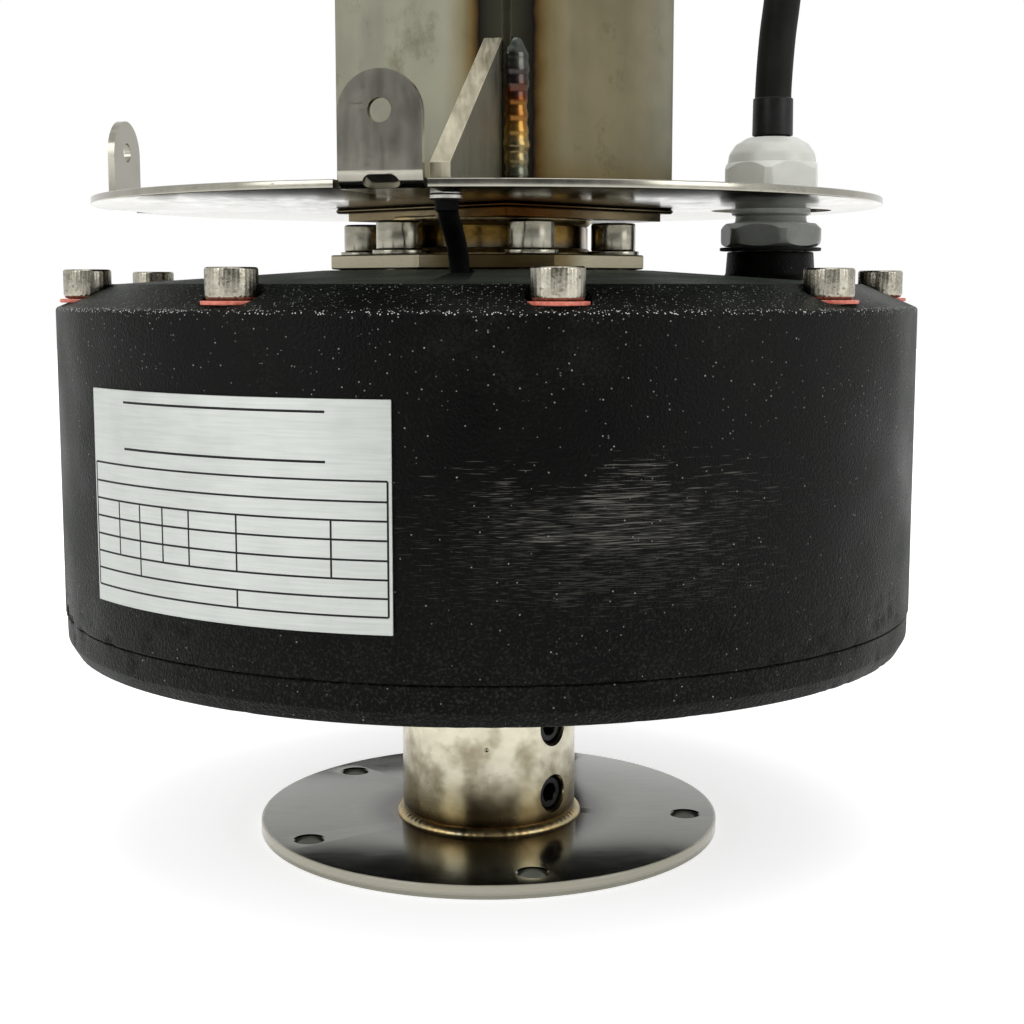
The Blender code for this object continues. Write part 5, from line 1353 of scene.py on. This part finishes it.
# %% Earth lead
LEAD_ROUTE = (  # mm
    (-7.4, -60.5, 168.4), (-7.8, -61.8, 173.0), (-8.9, -65.5, 178.5), (-10.0, -70.0, 182.4),
    (-10.5, -73.5, 186.9),
)
LUG_HALF = 4 * MM
LUG_REACH = 8 * MM
lead_points = [Vector(point) * MM for point in LEAD_ROUTE]
lead_curve = bpy.data.curves.new("earth_flex", "CURVE")
lead_curve.dimensions = "3D"
lead_curve.bevel_depth = 2.7 * MM
lead_curve.bevel_resolution = 5
lead_curve.use_fill_caps = True
lead_spline = lead_curve.splines.new("BEZIER")
lead_spline.bezier_points.add(len(lead_points) - 1)
for knot, point in zip(lead_spline.bezier_points, lead_points):
    knot.co = point
    knot.handle_left_type = knot.handle_right_type = "AUTO"
lead = bpy.data.objects.new("earth_flex", lead_curve)
bpy.context.scene.collection.objects.link(lead)
settle(lead, lead_sheath, "housing", "lead_sheath", "earth_lead")

lug_place = Matrix.Translation((-10.4 * MM, -75.5 * MM, 0))
lug_shape = bmesh.new()
tongue = [(-LUG_HALF, 0), (LUG_HALF, 0)]
for i in range(17):
    angle = -pi * i / 16
    tongue.append((LUG_HALF * cos(angle), LUG_HALF * sin(angle) - LUG_REACH))
add_loft(lug_shape, [[(x, y, z * MM) for x, y in tongue] for z in (186.3, 187.1)], lug_place)
settle(make_object("crimp_lug", lug_shape), tinned, "housing", "tinned_lug", "earth_lug")
barrel = bmesh.new()
barrel_outline = filleted(in_metres([(2.4, 183.4, 0), (3.0, 183.8, 0.3), (3.1, 186.3, 0.3), (2.0, 186.6, 0)]))
add_turned(barrel, barrel_outline, 40, Matrix.Translation((-10.5 * MM, -73.2 * MM, 0)))
settle(make_object("lug_sleeve", barrel), lead_sheath, "housing", "tinned_lug")
print("lead rises", round(LEAD_ROUTE[-1][2] - LEAD_ROUTE[0][2], 1), "mm")

# %% [markdown]
# The hub turns with the shaft. Its tube is turned stainless steel that has been handled since:
# bright, with faint broad stains, and browned near the bead that joins it to the flange.

# %% Turned steel
HUB_PLATE_TOP = 4  # mm
HUB_PLATE_RADIUS = 70
turned_steel, tree, shader, place, colour = metal_finish(
    "turned_steel", "c4c0ac", "e4e0ce", (9, 9, 5), 0.24, 0.012)
blot = add_node(tree, "TexNoise", {"Vector": place, "Scale": per_mm(9), "Detail": 3.0, "Roughness": 0.5})
stain = add_node(tree, "ValToRGB", {"Fac": blot.outputs[0]},
                 [(0.35, "b9b2a6"), (0.55, "f6f4f0"), (1.0, "ffffff")])
stained = multiplied(tree, colour, stain.outputs[0])
heat_tint_and_shade(tree, shader, stained, height_above(tree, place, HUB_PLATE_TOP),
          [(0, "6f5b45"), (3, "9a8463"), (6, "c4b596"), (11, "e3dccd"), (18, "ffffff")])
print("tube finish nodes:", len(tree.nodes))

# %% [markdown]
# The flange is ground plate: dark, smooth and slightly brushed, so it mirrors the tube. Round the
# bead it has straw and brown oxide. Its turned rim is painted pale, most at its upper edge, as a
# painted highlight where the edge catches the light, and there the finish is made less metallic.

# %% Ground plate
ground_plate, tree, shader, place, colour = metal_finish(
    "ground_steel_plate", "5b5c55", "6c6d65", (9, 2, 4), 0.16, 0.004)
spread = distance_from(tree, place, (0, 0), 0.3)
beyond = add_node(tree, "Math", {0: spread, 1: 28 * MM}, operation="SUBTRACT")
inner = heat_tint_and_shade(tree, shader, colour, beyond.outputs[0],
                  [(0, "7a6a4e"), (1.5, "a58a5c"), (3, "8c8078"), (5, "a3a6a8"), (8, "d9d6cf"),
                   (13, "ffffff")])
at_edge = add_node(tree, "MapRange", {"Value": spread, "From Min": 69.2 * MM, "From Max": 69.6 * MM})
plate_height = add_node(tree, "SeparateXYZ", {0: place}).outputs["Z"]
upper = add_node(tree, "MapRange", {"Value": plate_height, "From Min": 1.1 * MM, "From Max": 2.1 * MM,
                                    "To Min": 0.35, "To Max": 1.0})
# Painted highlight: the rim is painted pale, strongest towards its top.
rim_highlight = add_node(tree, "Math", {0: at_edge.outputs[0], 1: upper.outputs[0]}, operation="MULTIPLY")
with_rim_highlight = laid_over(tree, inner, linear("cbc6b4"), rim_highlight.outputs[0])
tree.links.new(with_rim_highlight, shader.inputs["Base Color"])
rim_metallic = add_node(tree, "Math", {0: 1.0, 1: rim_highlight.outputs[0]}, operation="SUBTRACT")
tree.links.new(rim_metallic.outputs[0], shader.inputs["Metallic"])
print("flange finish nodes:", len(tree.nodes))

# %% [markdown]
# Weld metal cools as a bright, rippled skin under thin oxide: straw and brown on the ring welds,
# and on the long welds beside the gusset the full run of colours, from blue-grey at the foot
# through gold and copper red to grey at the top, where the arc stopped. Grub screws are hardened
# steel with an oiled black oxide, so they are dark, with a soft shine where they are worn.

# %% Bead and grub screw finishes
bead_metal, tree, shader, place, colour = metal_finish(
    "tig_weld_bead", "94886a", "c9b98f", (2, 2, 2), 0.36, 0.006)
bands = add_node(tree, "TexNoise", {"Vector": place, "Scale": per_mm(7), "Detail": 2.0})
oxide = add_node(tree, "ValToRGB", {"Fac": bands.outputs[0]},
                 [(0.36, "77766a"), (0.47, "ab9768"), (0.58, "c7a05c"), (0.68, "8a6238")])
tree.links.new(laid_over(tree, colour, oxide.outputs[0], 0.4), shader.inputs["Base Color"])

gusset_bead, tree, shader, place, colour = metal_finish(
    "blued_fillet_bead", "8f8d84", "bdb9ab", (2, 2, 2), 0.2, 0.008)
bead_height = add_node(tree, "SeparateXYZ", {0: place}).outputs["Z"]
uneven = add_node(tree, "TexNoise", {"Vector": place, "Scale": per_mm(4), "Detail": 3.0})
shift = add_node(tree, "MapRange", {"Value": uneven.outputs[0], "To Min": -197 * MM, "To Max": -183 * MM})
up_bead = add_node(tree, "Math", {0: bead_height, 1: shift.outputs[0]}, operation="ADD")
heat_tint_and_shade(tree, shader, colour, up_bead.outputs[0],
          [(0, "66736f"), (7, "7d8074"), (12, "b8a070"), (18, "c2944e"), (24, "8a4f34"), (29, "5a5458"),
           (40, "72797a")])

black_oxide, tree, shader = new_material("oiled_black_oxide", Roughness=0.35, IOR=1.5, Specular_IOR_Level=0.3)
place = add_node(tree, "TexCoord").outputs["Object"]
wear = add_node(tree, "TexNoise", {"Vector": place, "Scale": per_mm(1.2), "Detail": 3.0})
tone = add_node(tree, "ValToRGB", {"Fac": wear.outputs[0]}, [(0.4, "060606"), (0.75, "171717")])
tree.links.new(tone.outputs[0], shader.inputs["Base Color"])
print("hub finishes ready")

# %% [markdown]
# The flange is a turned ring with five chamfered bolt holes.

# %% Hub flange
HUB_BORE = 12.8
hub_shape = bmesh.new()
add_turned(hub_shape, filleted(in_metres([
    (40, 0, 0), (HUB_PLATE_RADIUS, 0, 0.5), (HUB_PLATE_RADIUS, HUB_PLATE_TOP, 0.5),
    (HUB_BORE, HUB_PLATE_TOP, 0.2), (HUB_BORE, 0, 0.4), (38, 0, 0),
])), ROUND, loop=True)
hub = make_object("hub_plate", hub_shape)
bolt_holes = bmesh.new()
for i in range(5):
    bolt = Matrix.Translation(on_azimuth(60.5 * MM, 11.5 + 72 * i))
    add_turned(bolt_holes, in_metres([(5.2, -0.1), (4.25, 0.6), (4.25, 3.6), (4.85, 4.1)]), 64, bolt)
cut(hub, bolt_holes)
settle(hub, ground_plate, "rotor", "machined_steel", "hub_flange")
print("flange faces:", len(hub.data.polygons))

# %% [markdown]
# The tube is a turned ring too. Two tapped holes with worn mouths are cut through its wall for
# the grub screws, and one small pit is the bruise left by a centre punch.

# %% Hub tube
GRUB_AZIMUTH = 47
GRUB_HEIGHTS = (14 * MM, 34.4 * MM)
TUBE_FOOT, TUBE_RADIUS, TUBE_TOP = 4.05, 26.5, 55.3
tube_shape = bmesh.new()
add_turned(tube_shape, filleted(in_metres([
    (20, TUBE_FOOT, 0), (26.2, TUBE_FOOT, 0.3), (TUBE_RADIUS, 9, 0), (TUBE_RADIUS, TUBE_TOP, 0.6),
    (HUB_BORE, TUBE_TOP, 0.5), (HUB_BORE, TUBE_FOOT, 0.3), (18, TUBE_FOOT, 0),
])), 160, loop=True)
tube = make_object("hub_tube", tube_shape)
outward = Matrix.Rotation(radians(GRUB_AZIMUTH), 4, "Z") @ Matrix.Rotation(pi / 2, 4, "X")
tapped = bmesh.new()
for height in GRUB_HEIGHTS:
    hole = in_metres([(5.15, 11), (5.15, 25.6), (5.9, 26.6), (6.2, 28)])
    add_turned(tapped, hole, 64, Matrix.Translation((0, 0, height)) @ outward)
cut(tube, tapped)
pit = bmesh.new()
pit_place = Matrix.Translation((-0.7 * MM, -26.8 * MM, 29.7 * MM))
bmesh.ops.create_icosphere(pit, subdivisions=2, radius=0.75 * MM, matrix=pit_place)
cut(tube, pit)
settle(tube, turned_steel, "rotor", "machined_steel", "hub_collar")
print("tube faces:", len(tube.data.polygons))

# %% [markdown]
# Each grub screw is a headless screw with a hexagon socket, sunk a little below the tube's face.

# %% Grub screws
GRUBS = (("black_grub_low", "grub_screw_lower"), ("black_grub_high", "grub_screw_upper"))
for (name, node), height in zip(GRUBS, GRUB_HEIGHTS):
    grub_shape = bmesh.new()
    rings = [circle(x, z, HEX_SIDES) for x, z in filleted(in_metres([
        (2.5, 12.8, 0), (4.2, 14.0, 0.2), (5.0, 15.0, 0.2), (5.0, 24.2, 0.3), (4.4, 24.8, 0.1),
        (2.95, 24.8, 0),
    ]))]
    rings.append(hexagon(5 * MM, 24.5 * MM, HEX_SIDES))
    rings.append(hexagon(5 * MM, 20 * MM, HEX_SIDES))
    rings.append(circle(0.8 * MM, 19.2 * MM, HEX_SIDES))
    add_loft(grub_shape, rings, Matrix.Translation((0, 0, height)) @ outward)
    settle(make_object(name, grub_shape, 30), black_oxide, "rotor", "black_steel", node)
finish_node("shaft", turned_steel)
print(len(GRUBS), "grub screws")

# %% [markdown]
# A TIG bead is a row of overlapping ripples, one for each dip of the filler rod. Each bead here
# is a half-round strip laid along the joint, whose height and width swell and drop with each
# ripple, and wander a little as a hand does.


# %% Bead shapes
def add_bead(shape, points, up_vectors, width, height, pitch, closed=False):
    """A rippled half-round strip along points, with rounded ends. up_vectors point away from the joint."""
    count = len(points)
    travelled = 0.0
    rings = []
    for i, (point, up) in enumerate(zip(points, up_vectors)):
        before = points[i - 1] if i or closed else points[i]
        after = points[(i + 1) % count] if i + 1 < count or closed else points[i]
        tangent = (after - before).normalized()
        side = tangent.cross(up).normalized()
        travelled += (point - before).length if i else 0
        ripple = cos(2 * pi * travelled / pitch)
        wander = 1 + 0.12 * noise.noise(point * 180)
        swell = (0.96 + 0.04 * ripple) * wander
        if not closed:
            to_end = min((point - points[0]).length, (point - points[-1]).length) / width
            swell *= sqrt(1 - (1 - min(1.0, to_end + 0.05)) ** 2)
            wander = swell
        half_width = width / 2 * (0.9 + 0.1 * swell) * wander
        ring = []
        for k in range(9):
            angle = pi * k / 8
            ring.append(point + side * (half_width * cos(angle)) + up * (height * sin(angle) * swell))
        root = point - up * (height * 0.5)
        ring += [root - side * (width * 0.3), root + side * (width * 0.3)]
        rings.append([tuple(p) for p in ring])
    add_loft(shape, rings, loop=closed, ends=not closed)


def ring_bead(name, radius, height, lean, width, tall, body, slot):
    """A bead round the axis. lean is the angle of its outward direction above level."""
    count = max(240, int(2 * pi * radius / (0.35 * MM)))
    points, ups = [], []
    for i in range(count):
        angle = 2 * pi * i / count
        points.append(Vector((radius * cos(angle), radius * sin(angle), height)))
        ups.append(Vector((cos(angle) * cos(lean), sin(angle) * cos(lean), sin(lean))))
    shape = bmesh.new()
    add_bead(shape, points, ups, width, tall, 2.2 * MM, closed=True)
    return settle(make_object(name, shape, 60), bead_metal, body, slot)


def straight_bead(name, finish, start, end, up, width, tall, pitch):
    """A bead from start to end, in mm. up points away from the joint."""
    start, end = Vector(start) * MM, Vector(end) * MM
    count = max(8, int((end - start).length / (0.3 * MM)))
    points = [start.lerp(end, i / count) for i in range(count + 1)]
    shape = bmesh.new()
    add_bead(shape, points, [Vector(up).normalized()] * len(points), width, tall, pitch)
    return settle(make_object(name, shape, 60), finish, "housing", "stainless_plate")


print("bead shapes ready")

# %% [markdown]
# The beads themselves: one round the hub's tube, two round the neck, one up each seam of the
# column, almost flush, and two fat ones where the gusset's root meets the front corner.

# %% Weld beads
RING_BEADS = (  # name, radius, height, lean in degrees, width and rise in mm, body, slot
    ("hub_weld", 26.9, 4.4, 45, 3.4, 1.1, "rotor", "machined_steel"),
    ("neck_weld_low", 29.4, 174.2, 40, 3.6, 1.1, "housing", "stainless_plate"),
    ("neck_weld_high", 29.4, 183.2, -40, 3.4, 1.0, "housing", "stainless_plate"),
)
for name, radius, height, lean, width, rise, body, slot in RING_BEADS:
    ring_bead(name, radius * MM, height * MM, radians(lean), width * MM, rise * MM, body, slot)
STRAIGHT_BEADS = (  # name, finish, start, end, outward direction, width, rise and ripple in mm
    ("column_seam_front", column_steel, (5, -50.2, 190.2), (5, -50.2, 330), (0, -1, 0), 3.0, 0.35, 6),
    ("column_seam_rear", column_steel, (5, 50.2, 190.2), (5, 50.2, 330), (0, 1, 0), 3.0, 0.35, 6),
    ("gusset_weld_right", gusset_bead, (7.6, -49.2, 190), (7.4, -48.8, 230.2), (0.35, -0.94, 0),
     7.6, 2.4, 4),
    ("gusset_weld_left", gusset_bead, (-0.6, -47.6, 190), (-0.4, -47.2, 229.4), (-0.85, -0.5, 0),
     5.4, 1.6, 4),
)
for name, finish, start, end, up, width, rise, ripple in STRAIGHT_BEADS:
    straight_bead(name, finish, start, end, up, width * MM, rise * MM, ripple * MM)
print(len(RING_BEADS) + len(STRAIGHT_BEADS), "beads")

# %% [markdown]
# The rating plate is brushed aluminium foil under a clear matt film, screen printed and glued to
# the wall. The film scatters light, so it is paler and less metallic than bare foil and keeps
# only faint level brush lines. The ink is a matt black that lies on top.

# %% Foil and ink
FILM_METALLIC = 0.55
foil, tree, shader, place, colour = metal_finish(
    "brushed_aluminium_foil", "b6bab5", "c9cdc8", (14, 14, 0.6), 0.45, 0.006)
shader.inputs["Metallic"].default_value = FILM_METALLIC
ink, tree, shader = new_material("screen_printed_ink", Roughness=0.6, Specular_IOR_Level=0.2)
place = add_node(tree, "TexCoord").outputs["Object"]
spread = add_node(tree, "TexNoise", {"Vector": place, "Scale": per_mm(0.6)})
tone = add_node(tree, "ValToRGB", {"Fac": spread.outputs[0]}, [(0.3, "0c0c0d"), (0.8, "1c1c1e")])
tree.links.new(tone.outputs[0], shader.inputs["Base Color"])
print("foil and ink ready")

# %% [markdown]
# The plate follows the wall, so it is lofted by azimuth and height. Places on it are given as
# shares of its width and height, as on a drawing of the flat plate.

# %% Rating plate
PLATE_WEST, PLATE_EAST = -53.7, -10.2  # azimuths of its ends in degrees
PLATE_LOW, PLATE_TOP = 84 * MM, 139 * MM
PLATE_BACK, PLATE_FACE = 125.1 * MM, 125.75 * MM


def curved_strip(shape, left, right, top, bottom, inner, outer):
    """A strip of the plate. left to right and top to bottom are shares of its width and height."""
    steps = max(2, int(72 * (right - left)))
    rings = []
    for i in range(steps + 1):
        azimuth = PLATE_WEST + (PLATE_EAST - PLATE_WEST) * (left + (right - left) * i / steps)
        low = PLATE_TOP + (PLATE_LOW - PLATE_TOP) * bottom
        high = PLATE_TOP + (PLATE_LOW - PLATE_TOP) * top
        corners = ((inner, low), (outer, low), (outer, high), (inner, high))
        rings.append([on_azimuth(radius, azimuth, height) for radius, height in corners])
    add_loft(shape, rings)


plate_shape = bmesh.new()
curved_strip(plate_shape, 0, 1, 0, 1, PLATE_BACK, PLATE_FACE)
plate = make_object("rating_foil", plate_shape, 50)
soften_edges(plate, 0.15 * MM)
settle(plate, foil, "housing", "rating_foil", "label_plate")
print("plate points:", len(plate.data.vertices))

# %% [markdown]
# The real plate is printed with a name and ratings. Here it carries only two lines where a
# heading would be and the ruled lines of an empty table, as very thin black strips.

# %% Ruled lines
RULE, HEADER_RULE = 0.5 * MM, 0.6 * MM
RULE_RISE = 0.02 * MM
TABLE_LEFT, TABLE_RIGHT, TABLE_TOP, TABLE_FOOT = 0.01, 0.99, 0.343, 0.922
HEADERS = (0.055, 0.267)
ROWS = (TABLE_TOP, 0.43, 0.512, 0.595, 0.68, 0.762, 0.842, TABLE_FOOT)
COLUMNS = (  # place, top and foot
    (0.131, 0.512, 0.762), (0.322, 0.512, 0.762), (0.42, 0.512, 0.762), (0.228, 0.512, 0.842),
    (0.577, 0.512, 0.762), (0.577, 0.842, 0.922), (0.844, 0.512, 0.762),
    (TABLE_LEFT, TABLE_TOP, TABLE_FOOT), (TABLE_RIGHT, TABLE_TOP, TABLE_FOOT),
)
tall = PLATE_TOP - PLATE_LOW
wide = radians(PLATE_EAST - PLATE_WEST) * PLATE_FACE
rules = bmesh.new()
strips = [(0.166, 0.832, at - HEADER_RULE / tall / 2, at + HEADER_RULE / tall / 2) for at in HEADERS]
strips += [(TABLE_LEFT, TABLE_RIGHT, at - RULE / tall / 2, at + RULE / tall / 2) for at in ROWS]
strips += [(at - RULE / wide / 2, at + RULE / wide / 2, top, foot) for at, top, foot in COLUMNS]
for left, right, top, bottom in strips:
    curved_strip(rules, left, right, top, bottom, PLATE_FACE - RULE_RISE, PLATE_FACE + RULE_RISE)
settle(make_object("ruled_lines", rules), ink, "housing", "rating_foil")
print(len(strips), "ruled strips")

# %% [markdown]
# The inner works stay as the frame has them, with the finish each would have: a stator potted in
# brown resin, which is poured and sets glossy with soft swirls, soft iron rotor discs plated with
# zinc, ground and polished chromium steel bearings, and rubber seals.

# %% Inner finishes
resin, tree, shader = new_material("potting_resin", Roughness=0.3, IOR=1.55)
place = add_node(tree, "TexCoord").outputs["Object"]
swirl = add_node(tree, "TexNoise", {"Vector": place, "Scale": per_mm(18), "Detail": 4.0, "Distortion": 1.2})
tone = add_node(tree, "ValToRGB", {"Fac": swirl.outputs[0]}, [(0.3, "3b2413"), (0.7, "5c3c20")])
tree.links.new(tone.outputs[0], shader.inputs["Base Color"])
bearing_steel, *_ = metal_finish("chromium_bearing_steel", "b9b9b8", "d6d6d4", (5, 5, 0.5), 0.14, 0.008)
plated_iron, *_ = metal_finish("zinc_plated_iron", "8e9296", "b0b4b7", (4, 4, 4), 0.3)
INNER = {
    resin: ("stator_disc",),
    cable_rubber: ("housing_seal", "shaft_seal"),
    bearing_steel: ("lower_bearing_outer_ring", "upper_bearing_outer_ring", "lower_bearing_inner_ring",
                    "upper_bearing_inner_ring", "lower_bearing_balls", "upper_bearing_balls"),
    plated_iron: ("lower_rotor_disc", "upper_rotor_disc"),
    turned_steel: ("rotor_spacer", "rotor_nut"),
}
for material, nodes in INNER.items():
    for name in nodes:
        finish_node(name, material)
print(sum(len(nodes) for nodes in INNER.values()), "inner nodes finished")
